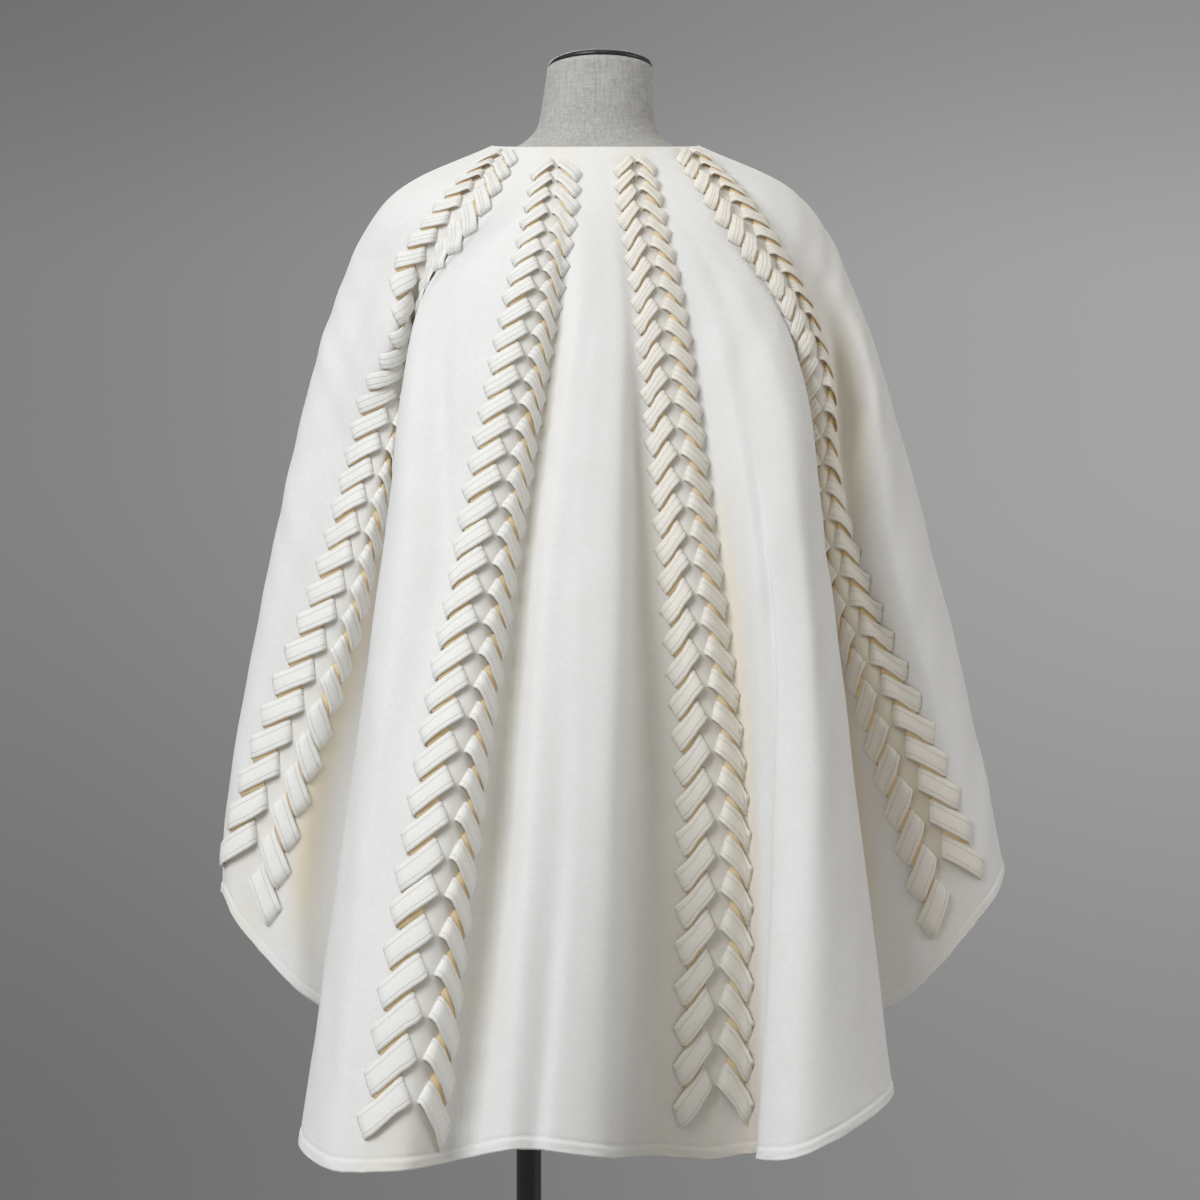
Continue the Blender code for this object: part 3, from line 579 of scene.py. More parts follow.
@dataclass
class CapePanel:
    """A cut panel of the cape, as a thin shell with rounded edges."""

    cape: CapeShape
    name: str
    first: str
    last: str
    columns: int
    replaced: tuple[str, ...]
    flat: Pair
    area: float
    body_rows: int = 150
    body_crowd: float = 1.12
    hem_rows: int = 16
    hem_crowd: float = 1.2
    hem_share: float = 0.022
    hem_fade: float = 0.0115
    seam_gap: float = 0.0003
    edge_bulge: float = 0.42
    # Painted warm shade within each braid, and how it fades out across it.
    braid_painted_shade: float = 0.20
    braid_fade: Pair = (0.60, 1.05)
    shade_fade_in: float = 0.2
    shade_fade_out: float = 0.15

    def row_shares(self) -> Array:
        """Return the rows' shares: closer at the neck, and closest in the turned-in hem."""
        hem = 1.0 - self.hem_share * np.linspace(1.0, 0.0, self.hem_rows) ** self.hem_crowd
        body = np.linspace(0.0, 1.0, self.body_rows) ** self.body_crowd * hem[0]
        return np.concatenate([body[:-1], hem])

    def columns_at(self, rows: CapeRows) -> Array:
        """Return each row's column places: half even in distance, half even between fold lines."""
        low, high = self.cape.index(self.first), self.cape.index(self.last)
        start = rows.stops[low] + (0.5 * self.seam_gap if low > 0 else 0.0)
        end = rows.stops[high] - (0.5 * self.seam_gap if high < len(self.cape.folds) - 1 else 0.0)
        share = np.linspace(0.0, 1.0, self.columns)
        step = self.cape.span_steps
        index = np.linspace(0.0, 1.0, (high - low) * step + 1)
        places = []
        for r in range(len(rows.shares)):
            curve = rows.distance[low * step:high * step + 1, r]
            even = (curve - curve[0]) / (curve[-1] - curve[0])
            place = np.interp(share, 0.5 * (index + even), even)
            places.append(start[r] + (end[r] - start[r]) * place)
        return np.array(places)

    def painted_shade_amount(self, rows: CapeRows, distance: Array) -> Array:
        """Return how much painted warm shade the cloth gets: most between and right beside the
        laced tabs.
        """
        # Painted warm shade: a tan for the shadowed cloth among the tabs and in the valleys.
        warm = np.zeros_like(distance)
        for braid in BRAIDS:
            k = self.cape.index(braid.line)
            half = self.cape.braid_half_width(rows, k)[:, None]
            across = np.abs(distance - rows.stops[k][:, None]) / half
            fade = 1.0 - smooth_step(across, *self.braid_fade)
            warm = np.maximum(warm, self.braid_painted_shade * fade)
        share = rows.shares[:, None]
        for painted_light in PAINTED_SHADES:
            across = distance - rows.stops[self.cape.index(painted_light.line)][:, None] - painted_light.aside
            fade = (smooth_step(share, painted_light.top, painted_light.top + self.shade_fade_in)
                    * smooth_step(-share, -painted_light.foot, self.shade_fade_out - painted_light.foot))
            warm = np.maximum(warm, painted_light.amount * fade * np.exp(-(across / painted_light.width) ** 2))
        return warm

    def build(self, material: Material) -> Object:
        """Make the panel: outer surface, inner surface a cloth's thickness in, and a rounded rim.

        Args:
            material: The wool.

        Returns:
            The panel's object.
        """
        cape = self.cape
        rows = cape.rows(self.row_shares())
        distance = self.columns_at(rows)
        outer, normals = cape.surface(rows, distance)
        up = (1.0 - rows.shares[:, None, None]) * cape.length
        turned = 1.0 - smooth_step(up, cape.hem_turning, self.hem_fade)
        thick = cape.cloth + cape.hem_rise * turned
        inner = outer - thick * normals
        middle = 0.5 * (outer + inner)
        rim, push = self.rim(middle)
        points = np.concatenate([outer.reshape(-1, 3), inner.reshape(-1, 3),
                                 middle.reshape(-1, 3)[rim] + push])
        count, wide = distance.shape
        size = count * wide
        after = np.roll(rim, -1)
        mid = 2 * size + np.arange(len(rim))
        faces = grid_faces(count, wide) + grid_faces(count, wide, size, True)
        faces += np.stack([after, rim, mid, np.roll(mid, -1)], axis=-1).tolist()
        faces += np.stack([np.roll(mid, -1), mid, rim + size, after + size], axis=-1).tolist()
        # The painted warm shade goes on every point of both faces and the rim.
        warm = self.painted_shade_amount(rows, distance).ravel()
        uv = np.stack([distance.ravel(), np.repeat(rows.shares * cape.length, wide)], axis=-1)
        return add_piece(self.name, points, faces, material, Slot.WOOL, self.replaced,
                         {"warm": np.concatenate([warm, warm, warm[rim]])},
                         np.concatenate([uv, uv, uv[rim]]))

    def rim(self, middle: Array) -> tuple[Array, Array]:
        """Return the border's point numbers, in face order, and how far each is pushed outwards.

        Args:
            middle: The surface half-way through the cloth.

        Returns:
            Point numbers and pushes. A sewn side seam isn't pushed, so that it stays shut.
        """
        number = np.arange(middle[..., 0].size).reshape(middle.shape[:2])
        push = np.zeros_like(middle)
        reach = self.edge_bulge * self.cape.cloth
        push[-1] += unit(middle[-1] - middle[-2]) * reach
        push[0] += unit(middle[0] - middle[1]) * reach
        if "front edge" in self.first:
            push[:, 0] += unit(middle[:, 0] - middle[:, 1]) * reach
        if "front edge" in self.last:
            push[:, -1] += unit(middle[:, -1] - middle[:, -2]) * reach
        rim = np.concatenate([number[:, 0], number[-1, 1:], number[-2::-1, -1], number[0, -2:0:-1]])
        return rim, push.reshape(-1, 3)[rim]


# ---- braids of laced tabs ----
class Braid(NamedTuple):
    """A braid: part of its nodes' names, fold line, tabs, seed, shift in pitches, width, painted
    shade on its tabs.
    """

    name: str
    line: str
    pitches: int
    seed: int
    shift: float = 0.06
    width: float = 1.00
    painted_tab_shade: float = 0.05


# The last number is the painted warm shade on a braid's tabs, most for the braids in the valleys.
BRAIDS = [
    Braid("front_inner_left", "inner braid left", 34, 11),
    Braid("front_outer_left", "outer braid left", 30, 12),
    Braid("back_outer_left", "braid 1", 29, 13, 0.10, 1.10, 0.03),
    Braid("back_inner_left", "braid 2", 34, 14, -0.28, 1.05, 0.04),
    Braid("back_inner_right", "braid 3", 34, 15, 0.46, 0.90, 0.22),
    Braid("back_outer_right", "braid 4", 30, 16, 0.06, 1.00, 0.26),
    Braid("front_outer_right", "outer braid right", 30, 17),
    Braid("front_inner_right", "inner braid right", 34, 18),
]


class Arch(NamedTuple):
    """A station along a tab: the share of its length and of its full rise."""

    along: float
    rise: float


TAB_ARCH = table(Arch, 0, [
    (0, -200), (25, 620), (110, 950), (300, 1000), (550, 950), (780, 820), (940, 600), (1000, -150),
])


class Rib(NamedTuple):
    """A point round a tab's section: the share of its width, and of its half thickness."""

    across: float
    thick: float


TAB_RIBS = table(Rib, 0, [
    (0, -200), (30, 780), (110, 1040), (520, 1140), (900, 1020), (980, 700), (1000, -250),
    (500, -1000),
])


class Tabs(NamedTuple):
    """The tabs of one row, with two more axes of length one: along each tab and across it."""

    top: Array
    pitch: Array
    scale: Array
    slant: Array
    jitter: Array


@dataclass
class LacedBraid:
    """Two rows of laced tabs on the cape, either side of one fold line.

    A place across is in half widths from the centre, one along in pitches from the tab's top. The
    bows have one number for the row at -X of the centre and one for the row at +X.
    """

    cape: CapeShape
    braid: Braid
    growth: float = 1.0248
    run: float = 1.5
    first_tab: float = 0.004
    neck_limit: float = 0.0005
    hem_margin: float = 0.012
    slant_top: float = 0.96
    slant_hem: float = 0.98
    inner_upper: float = 0.27
    inner_lower: float = 0.06
    outer_lower: float = 0.76
    lower_start: float = 0.58
    lower_end: float = 1.56
    upper_bow: Pair = (0.03, -0.04)
    lower_bow: Pair = (0.05, -0.01)
    rise_low: float = 0.0016
    rise_high: float = 0.0056
    thickness: float = 0.0026
    length_pitches: float = 1.25
    width_pitches: float = 0.62
    least_scale: float = 0.72
    least_thickness: float = 0.80
    rise_power: float = 0.8
    top_jitter: float = 0.018
    slant_jitter: float = 0.02
    rise_jitter: float = 0.10
    lift_jitter: float = 0.0004
    bow_jitter: float = 0.022
    place_jitter: float = 0.006
    under_along: Triple = (0.36, 0.66, 0.93)
    under_across: tuple[float, ...] = (0.80, 0.80, 1.24, 1.24)
    under_height: tuple[float, ...] = (-0.0003, 0.0042, 0.0026, -0.0003)
    more_tabs: int = 4
    overrun: float = 0.08
    overrun_steps: int = 25
    place_spread: float = 8.0
    row_count: int = 260
    lanes: Array = field(default_factory=lambda: np.linspace(-1.3, 1.3, 27))

    def __post_init__(self) -> None:
        """Sample the cape's surface along lanes beside the braid's centre.

        Each sample's place is that of the nearest point of the centre, smoothed to a steady run.
        """
        rows = self.cape.rows(np.linspace(0.0, 1.0, self.row_count))
        k = self.cape.index(self.braid.line)
        half = self.cape.braid_half_width(rows, k) * self.braid.width
        distance = rows.stops[k][:, None] + half[:, None] * self.lanes
        distance = np.clip(distance, 0.0, rows.distance[-1][:, None])
        self.points, self.normals = self.cape.surface(rows, distance)
        centre = self.points[:, len(self.lanes) // 2]
        self.length = float(lengths_along(centre)[-1])
        steps = self.overrun * np.linspace(0.0, 1.0, self.overrun_steps)[1:, None]
        centre = np.concatenate([centre, centre[-1] + steps * unit(centre[-1] - centre[-6])])
        gap = np.linalg.norm(self.points[:, :, None] - centre[None, None], axis=-1)
        nearest = lengths_along(centre)[gap.argmin(axis=-1)]
        rising = 1e-9 * np.arange(self.row_count)[:, None]
        self.places = softened(np.maximum.accumulate(nearest, axis=0), self.place_spread) + rising

    def sample(self, lane: Array, place: Array) -> tuple[Array, Array]:
        """Return the cloth's points and normals under places on the braid.

        Args:
            lane: Place across, in half widths, positive towards +X at the back.
            place: Distance along the braid's centre, in metres.

        Returns:
            Points and normals, bilinear between lanes and rows.
        """
        last = len(self.lanes) - 1.001
        at = np.clip((lane - self.lanes[0]) / (self.lanes[1] - self.lanes[0]), 0.0, last)
        left = at.astype(int)
        across = (at - left)[..., None]
        steps = np.arange(self.row_count)
        row = np.stack([np.interp(place, places, steps) for places in self.places.T])
        found = []
        for number in (left, left + 1):
            here = np.take_along_axis(row, number[None], axis=0)[0]
            low = np.minimum(here.astype(int), self.row_count - 2)
            part = (here - low)[..., None]
            found.append([grid[low, number] * (1.0 - part) + grid[low + 1, number] * part
                          for grid in (self.points, self.normals)])
        points, normals = (found[0][k] * (1.0 - across) + found[1][k] * across for k in (0, 1))
        return points, unit(normals)

    def plan(self, run: Array, across: Array, tabs: Tabs, side: int) -> tuple[Array, Array]:
        """Return where a tab's points lie in plan.

        The upper and the lower edge are bowed lines between the tab's four corners, bowed most a
        little inside their middles, and a point lies on the straight line between the two.

        Args:
            run: Share of the way from inner to outer end.
            across: Share of the way from upper to lower edge.
            tabs: The row's tabs.
            side: Which side of the centre the row is on.

        Returns:
            Places across, in half widths times the side, and along the braid, in metres.
        """
        bow = np.where((run > 0.0) & (run < 1.0), 4.0 * run * (1.0 - run) * (1.15 - 0.3 * run), 0.0)
        upper_lane = self.inner_upper + (1.0 - self.inner_upper) * run
        lower_lane = self.inner_lower + (self.outer_lower - self.inner_lower) * run
        upper_place = tabs.slant * run + self.upper_bow[side > 0] * bow
        lower_place = (self.lower_start + (self.lower_end - self.lower_start) * run
                       + (self.lower_bow[side > 0] + self.bow_jitter * tabs.jitter[2]) * bow)
        lane = upper_lane + (lower_lane - upper_lane) * across
        place = upper_place + (lower_place - upper_place) * across
        place = place + self.place_jitter * tabs.jitter[3]
        return side * lane, tabs.top + tabs.pitch * place

    def lay_out(self, side: int) -> Tabs:
        """Return a row's tabs: each larger than the last, all that end above the hem."""
        random = np.random.default_rng(self.braid.seed * 10 + side)
        pitches = self.braid.pitches
        grown = self.growth ** pitches
        first = (self.length - self.hem_margin - self.first_tab) / (
            (grown - 1.0) / (self.growth - 1.0) + self.run * grown)
        number = np.arange(pitches + self.more_tabs, dtype=float)[:, None, None]
        pitch = first * self.growth ** number
        top = self.first_tab + first * (self.growth ** number - 1.0) / (self.growth - 1.0)
        top = top + pitch * (self.braid.shift + random.normal(0.0, self.top_jitter, number.shape))
        slant = self.slant_top + (self.slant_hem - self.slant_top) * number / pitches
        slant = slant + random.normal(0.0, self.slant_jitter, slant.shape)
        jitter = random.normal(0.0, 1.0, (4, *slant.shape))
        scale = self.least_scale + (1.0 - self.least_scale) * pitch / (first * grown)
        tabs = Tabs(top, pitch, scale, slant, jitter)
        ends = np.array([0.0, 1.0])
        lane, place = self.plan(ends[None, :, None], ends[None, None, :], tabs, side)
        limit = np.interp(lane, self.lanes, self.places[-1]) - 0.5 * self.hem_margin
        keep = ((place < limit) & (top > self.neck_limit)).all(axis=(1, 2))
        return Tabs(top[keep], pitch[keep], scale[keep], slant[keep], jitter[:, keep])

    def build_row(self, row: str, side: int, material: Material) -> Object:
        """Make one row of tabs as one mesh.

        A tab is a flattened strip. Along it a centre line rises steeply out of the cloth at the
        inner end, runs flat and falls slowly back into the cloth at the outer end. Across it has a
        rounded section, whose upper edge lies low and whose lower edge is lifted. Under it lies
        the strip's own turned-under part, as a thin flat layer on the cloth.

        Args:
            row: The letter of the row, a or b.
            side: -1 or 1, which side of the centre the row is on.
            material: The tabs' wool.

        Returns:
            The row's object.
        """
        tabs = self.lay_out(side)
        arch, ribs = np.array(TAB_ARCH), np.array(TAB_RIBS)
        along, rise = arch.T[:, None, :, None]
        across, thick = ribs.T[:, None, None, :]
        high = self.rise_low + (self.rise_high - self.rise_low) * across ** self.rise_power
        high = high * tabs.scale * (1.0 + self.rise_jitter * tabs.jitter[0])
        high = high + self.lift_jitter * tabs.jitter[1] * across
        centre = high * rise + 0.5 * self.thickness * (rise > 0.1)
        least = self.least_thickness
        half = 0.5 * self.thickness * (least + (1.0 - least) * tabs.scale)
        reach = tabs.pitch * self.length_pitches
        forward = np.maximum(np.gradient(arch[:, 0])[:, None] * reach, 1e-5)
        slope = np.gradient(centre, axis=1) / forward
        lean = 1.0 / np.sqrt(1.0 + slope ** 2)
        run = along - half * thick * slope * lean / reach
        height = centre + half * thick * lean
        base, normal = self.sample(*self.plan(run, across, tabs, side))
        points = (base + normal * height[..., None]).reshape(-1, 3)
        under, under_faces = self.under_layer(tabs, side, len(points))
        width = tabs.pitch * self.width_pitches
        # Painted golden shade: full on each tab's underside, with the braid's own painted shade on
        # its top.
        values = {"warm": np.where(thick < -0.5, 1.0, self.braid.painted_tab_shade),
                  "upper_edge": across * width, "lower_edge": (1.0 - across) * width,
                  "run": along * reach}
        # The turned-under layer takes the full painted golden shade.
        values = {key: np.append(np.broadcast_to(value, height.shape), np.ones(len(under)))
                  for key, value in values.items()}
        return add_piece(f"laced_{self.braid.name}_{row}", np.concatenate([points, under]),
                         self.loft_faces(height.shape, side > 0) + under_faces, material, Slot.TABS,
                         (f"tabs_{self.braid.name}_{row}",), values)

    def under_layer(self, tabs: Tabs, side: int, start: int) -> tuple[Array, list[list[int]]]:
        """Return the strips' turned-under parts: thin flat layers that show in the gaps, in full
        painted golden shade.

        Args:
            tabs: The row's tabs; the last one has no gap below it.
            side: Which side of the centre the row is on.
            start: The number of the first new point.

        Returns:
            Points and faces.
        """
        upper = Tabs(*(value[:-1] for value in tabs[:-1]), tabs.jitter[:, :-1])
        along = np.array(self.under_along)[None, :, None]
        across = np.array(self.under_across)[None, None, :]
        base, normal = self.sample(*self.plan(along, across, upper, side))
        height = np.broadcast_to(np.array(self.under_height), base.shape[:-1])
        faces = self.loft_faces(height.shape, side > 0, start)
        return (base + normal * height[..., None]).reshape(-1, 3), faces

    @staticmethod
    def loft_faces(shape: tuple[int, ...], turned: bool, first: int = 0) -> list[list[int]]:
        """Return the faces of many equal closed lofts, end faces included.

        Args:
            shape: How many lofts, rings to each, and points to a ring.
            turned: Whether the lofts run the other way round.
            first: The number of the first point.

        Returns:
            The faces.
        """
        count, stations, around = shape
        one = ring_faces(stations, around)
        start = (first + np.arange(count) * stations * around)[:, None, None]
        faces = ((one if turned else one[:, ::-1])[None] + start).reshape(-1, 4).tolist()
        near, far = np.arange(around), np.arange(around) + (stations - 1) * around
        for cap in (near[::-1], far) if turned else (near, far[::-1]):
            faces += (cap[None] + start[:, 0]).tolist()
        return faces


# ---- dress form and stand ----
class FormSection(NamedTuple):
    """A section of the dress form: its height, half width, and depth to the back and front."""

    z: float
    half_width: float
    back: float
    front: float


FORM_SECTIONS = table(FormSection, 0, [
    (800, 144, 101, 96), (808, 151, 108, 102), (870, 168, 118, 108), (940, 154, 108, 103),
    (1040, 123, 89, 97), (1120, 136, 94, 111), (1190, 152, 103, 124), (1245, 160, 109, 118),
    (1300, 172, 111, 107), (1331.5, 182, 106, 91), (1352, 184, 97.5, 79), (1367.5, 171, 90, 70),
    (1380, 148, 82, 62), (1390.5, 122, 74.5, 57), (1399.2, 97, 70, 54), (1406.8, 77, 65.5, 52.5),
    (1415, 65, 62.5, 52.5), (1425, 57.5, 60, 52.5), (1437, 55, 58.5, 52.5), (1456, 53, 56.5, 52),
    (1481, 50.8, 55, 51.5),
])


class CapRing(NamedTuple):
    """A ring of the neck's cap: its share of the neck's size, and its height above the neck."""

    share: float
    rise: float


CAP_RINGS = table(CapRing, 0, [
    (950, 0.3), (968, 0.8), (976, 2.2), (972, 3.6), (958, 5.0), (910, 6.4), (820, 7.6), (600, 9.0),
    (300, 9.8), (60, 10.0),
])


@dataclass
class DressForm:
    """The limbless dress form, linen covered, with the black cap on its neck."""

    form_x: float = 0.0675
    lean: float = 0.058
    lean_from_z: float = 1.480
    tilt: float = 0.140
    tilt_from_z: float = 1.437
    sides: int = 128
    steps: int = 7
    shrink: float = 0.0007
    seam_depth: float = 0.0006
    seam_width: float = 0.0012

    def rings(self, sections: Array, rise: float = 0.0) -> Array:
        """Return closed rings: half an ellipse to the back, half to the front, leaning sideways.

        Args:
            sections: Height, half width, back and front depth, one row each.
            rise: Height added to all.

        Returns:
            The rings' points.
        """
        angle = FULL_TURN * np.arange(self.sides) / self.sides
        z, half_width, back, front = (sections[:, k, None] for k in range(4))
        seam = np.exp(-((angle - 0.75 * FULL_TURN) * half_width / self.seam_width) ** 2)
        y = np.where(np.sin(angle) > 0.0, front, back) * np.sin(angle) + self.seam_depth * seam
        top = FORM_SECTIONS[-1].z - self.tilt_from_z
        height = z - self.tilt * np.maximum(0.0, z - self.tilt_from_z) / top * y + rise
        x = half_width * np.cos(angle) + self.form_x + self.lean * (height - self.lean_from_z)
        return np.stack([x, y, height], axis=-1)

    def loft(self, name: str, rings: Array, material: Material, slot: Slot, node: str) -> Object:
        """Make a piece through rings, closed at both ends.

        Args:
            name: The piece's name.
            rings: The rings' points, from the lowest to the highest.
            material: Its material.
            slot: The record's material slot.
            node: The part's node that it stands for.

        Returns:
            The new object.
        """
        ends = np.arange(self.sides)
        faces = ring_faces(len(rings), self.sides).tolist()
        faces += [ends[::-1].tolist(), (ends + (len(rings) - 1) * self.sides).tolist()]
        return add_piece(name, rings.reshape(-1, 3), faces, material, slot, (node,))

    def build(self, linen: Material) -> Object:
        """Make the form: a smooth loft through its sections, closed at the foot and the neck."""
        sections = smooth_path(np.array(FORM_SECTIONS), self.steps)
        sections[:, 1:] -= self.shrink
        return self.loft("dress_form", self.rings(sections), linen, Slot.LINEN, "form_torso")

    def build_cap(self, black: Material) -> Object:
        """Make the neck's cap: shallow rings that round over to the top."""
        top = np.array(FORM_SECTIONS[-1])
        rings = [self.rings(np.array([[top[0], *(ring.share * top[1:])]]), ring.rise)
                 for ring in CAP_RINGS]
        return self.loft("form_cap", np.concatenate(rings), black, Slot.CAP, "neck_cap")


# ---- shader graphs ----
class Graph:
    """A material's nodes, made through one method."""

    def __init__(self, owner: Material | bpy.types.World) -> None:
        """Clear the nodes of a material or a world."""
        owner.use_nodes = True
        self.tree = owner.node_tree
        self.tree.nodes.clear()

    def node(self, kind: str, settings: dict[str, Any] | None = None,
             inputs: dict[str | int, Any] | None = None) -> bpy.types.Node:
        """Make a node.

        Args:
            kind: The node's type.
            settings: Its settings, set first.
            inputs: Values or links for its sockets, by name or number.

        Returns:
            The node.
        """
        made = self.tree.nodes.new(kind)
        for key, value in (settings or {}).items():
            setattr(made, key, value)
        for key, value in (inputs or {}).items():
            source = value.socket if isinstance(value, Value) else value
            if isinstance(source, Socket):
                self.tree.links.new(source, made.inputs[key])
            else:
                made.inputs[key].default_value = source
        return made

    def attribute(self, name: str) -> Value:
        """Return a piece's number for each point."""
        made = self.node("ShaderNodeAttribute", {"attribute_name": name})
        return Value(self, made.outputs["Fac"])

    def object_point(self, stretch: Triple = (1.0, 1.0, 1.0)) -> Socket:
        """Return the Object coordinates, stretched along each axis."""
        point = self.node("ShaderNodeTexCoord").outputs["Object"]
        return self.node("ShaderNodeMapping", {"vector_type": "POINT"},
                         {"Vector": point, "Scale": stretch}).outputs["Vector"]

    def noise(self, point: Socket, scale: float, detail: float, roughness: float) -> Value:
        """Return a noise from 0 to 1 at a scale for each metre."""
        inputs = {"Vector": point, "Scale": scale, "Detail": detail, "Roughness": roughness}
        made = self.node("ShaderNodeTexNoise", {"noise_dimensions": "3D"}, inputs)
        return Value(self, made.outputs["Fac"])

    def colour(self, factor: Value, low: Triple | Socket, high: Triple | Socket) -> Socket:
        """Return the mix of two colours; each may be a link."""
        ends = [(*end, 1.0) if isinstance(end, tuple) else end for end in (low, high)]
        made = self.node("ShaderNodeMix", {"data_type": "RGBA", "clamp_factor": True},
                         {"Factor": factor, 6: ends[0], 7: ends[1]})
        return made.outputs[2]

    def bump(self, height: Value, depth: float) -> Socket:
        """Return a normal bumped by a height from 0 to 1 of that depth in metres."""
        return self.node("ShaderNodeBump", None, {"Height": height, "Distance": depth,
                                                  "Strength": 1.0}).outputs["Normal"]


def operator(kind: str, turned: bool = False) -> Callable[[Value, Any], Value]:
    """Return a method that adds a Math node; a turned one puts the other value first."""
    def method(self: Value, other: Any) -> Value:
        """Return the node's result."""
        return self.math(kind, other, self) if turned else self.math(kind, self, other)
    return method


class Value:
    """A number in a graph; the usual operators add Math nodes."""

    def __init__(self, graph: Graph, socket: Socket) -> None:
        """Wrap a socket."""
        self.graph = graph
        self.socket = socket

    def math(self, kind: str, *values: Any) -> Value:
        """Return a Math node's result on the values."""
        made = self.graph.node("ShaderNodeMath", {"operation": kind}, dict(enumerate(values)))
        return Value(self.graph, made.outputs[0])

    __add__ = __radd__ = operator("ADD")
    __mul__ = __rmul__ = operator("MULTIPLY")
    __sub__ = operator("SUBTRACT")
    __rsub__ = operator("SUBTRACT", turned=True)
    __truediv__ = operator("DIVIDE")
    __rtruediv__ = operator("DIVIDE", turned=True)
    least = operator("MINIMUM")

    def size(self) -> Value:
        """Return the value without its sign."""
        return self.math("ABSOLUTE", self)

    def fraction(self) -> Value:
        """Return the part after the point."""
        return self.math("FRACT", self)

    def step(self, low: float, high: float) -> Value:
        """Return 0 at low, 1 at high and a smooth S between them."""
        made = self.graph.node("ShaderNodeMapRange", {"interpolation_type": "SMOOTHSTEP"},
                               {"Value": self, "From Min": low, "From Max": high})
        return Value(self.graph, made.outputs["Result"])


# ---- finishes ----
class Finish:
    """A material by name, whose Principled inputs each finish draws for itself."""

    name: str

    def inputs(self, graph: Graph, point: Socket) -> dict[str, Any]:
        """Return the shader's inputs.

        Args:
            graph: The graph to draw them in.
            point: The Object coordinates.

        Returns:
            Values or links, by the name of the Principled input.
        """
        raise NotImplementedError

    def material(self) -> Material:
        """Make the material."""
        made = bpy.data.materials.new(self.name)
        graph = Graph(made)
        inputs = self.inputs(graph, graph.object_point())
        shader = graph.node("ShaderNodeBsdfPrincipled", None, inputs)
        graph.node("ShaderNodeOutputMaterial", None, {"Surface": shader.outputs["BSDF"]})
        return made


@dataclass(frozen=True)
class WoolFinish(Finish):
    """Double-faced wool: a short felted nap with faint mottling, with painted warm shade beside the
    braids and in the valleys.

    Each noise here and below is its scale, detail and roughness.
    """

    name: str = "ivory double-faced wool"
    face: Triple = (0.835, 0.826, 0.806)
    deep: Triple = (0.808, 0.796, 0.770)
    # The tan of the painted warm shade.
    warm: Triple = (0.820, 0.720, 0.540)
    roughness: float = 0.90
    sheen: float = 0.18
    nap_depth: float = 0.00045
    nap: Triple = (900.0, 4.0, 0.62)
    felt: Triple = (210.0, 3.0, 0.55)
    cloud: Triple = (22.0, 3.0, 0.50)

    def inputs(self, graph: Graph, point: Socket) -> dict[str, Any]:
        """Return the shader's inputs."""
        nap, felt, cloud = (graph.noise(point, *kind) for kind in (self.nap, self.felt, self.cloud))
        mottle = felt * 0.55 + cloud * 0.45
        plain = graph.colour(mottle.step(0.36, 0.66), self.deep, self.face)
        return {
            # Base colour: the mottled wool, mixed towards tan by each point's painted warm shade.
            "Base Color": graph.colour(graph.attribute("warm"), plain, self.warm),
            "Roughness": felt * 0.08 + (self.roughness - 0.04), "Specular IOR Level": 0.25,
            "Sheen Weight": self.sheen, "Sheen Roughness": 0.45,
            "Normal": graph.bump(nap * 0.6 + felt * 0.4, self.nap_depth),
        }


@dataclass(frozen=True)
class TabFinish(Finish):
    """Bagged-out wool strips: smooth nap, two sewn lines, and painted golden shade in their hidden
    parts.

    The hidden parts also glow faintly: painted bounce light, for the light that many white faces
    throw into them.
    """

    name: str = "ivory wool strip"
    face: Triple = (0.885, 0.876, 0.850)
    deep: Triple = (0.855, 0.842, 0.805)
    # The gold of the painted shade in the gaps, under the tabs and on tabs in valleys.
    painted_gap_shade: Triple = (0.740, 0.590, 0.370)
    # The colour of the painted bounce light.
    painted_light: Triple = (0.060, 0.040, 0.015)
    thread: Triple = (0.620, 0.580, 0.490)
    roughness: float = 0.84
    sheen: float = 0.18
    stitch: float = 0.0026
    upper_line: float = 0.0054
    lower_line: float = 0.0038
    rib: float = 0.0012
    line_half: float = 0.00055
    nap_depth: float = 0.00045
    nap: Triple = (1100.0, 3.0, 0.60)
    felt: Triple = (260.0, 3.0, 0.50)

    def inputs(self, graph: Graph, point: Socket) -> dict[str, Any]:
        """Return the shader's inputs."""
        nap, felt = graph.noise(point, *self.nap), graph.noise(point, *self.felt)
        warm, upper_edge = graph.attribute("warm"), graph.attribute("upper_edge")
        line = (upper_edge - self.upper_line).size().least(
            (graph.attribute("lower_edge") - self.lower_line).size())
        near = 1.0 - line.step(0.3 * self.line_half, 1.6 * self.line_half)
        dash = ((graph.attribute("run") / self.stitch).fraction() - 0.5).size()
        sewn = near * (1.0 - dash.step(0.34, 0.46) * 0.6)
        plain = graph.colour(felt.step(0.34, 0.66), self.deep, self.face)
        lined = graph.colour(sewn * 0.32, plain, self.thread)
        ribs = ((upper_edge / self.rib).fraction() - 0.5).size()
        height = nap * 0.30 + felt * 0.20 + ribs * 0.30 - sewn * 0.8
        return {
            # Base colour: the sewn wool, mixed towards gold by each point's painted shade.
            "Base Color": graph.colour(warm, lined, self.painted_gap_shade),
            "Roughness": felt * 0.08 + (self.roughness - 0.04), "Specular IOR Level": 0.28,
            "Sheen Weight": self.sheen, "Sheen Roughness": 0.40,
            # Emission: painted bounce light where the painted shade is strongest.
            "Emission Color": graph.colour(warm.step(0.45, 1.0), (0.0, 0.0, 0.0), self.painted_light),
            "Emission Strength": 1.0, "Normal": graph.bump(height, self.nap_depth),
        }


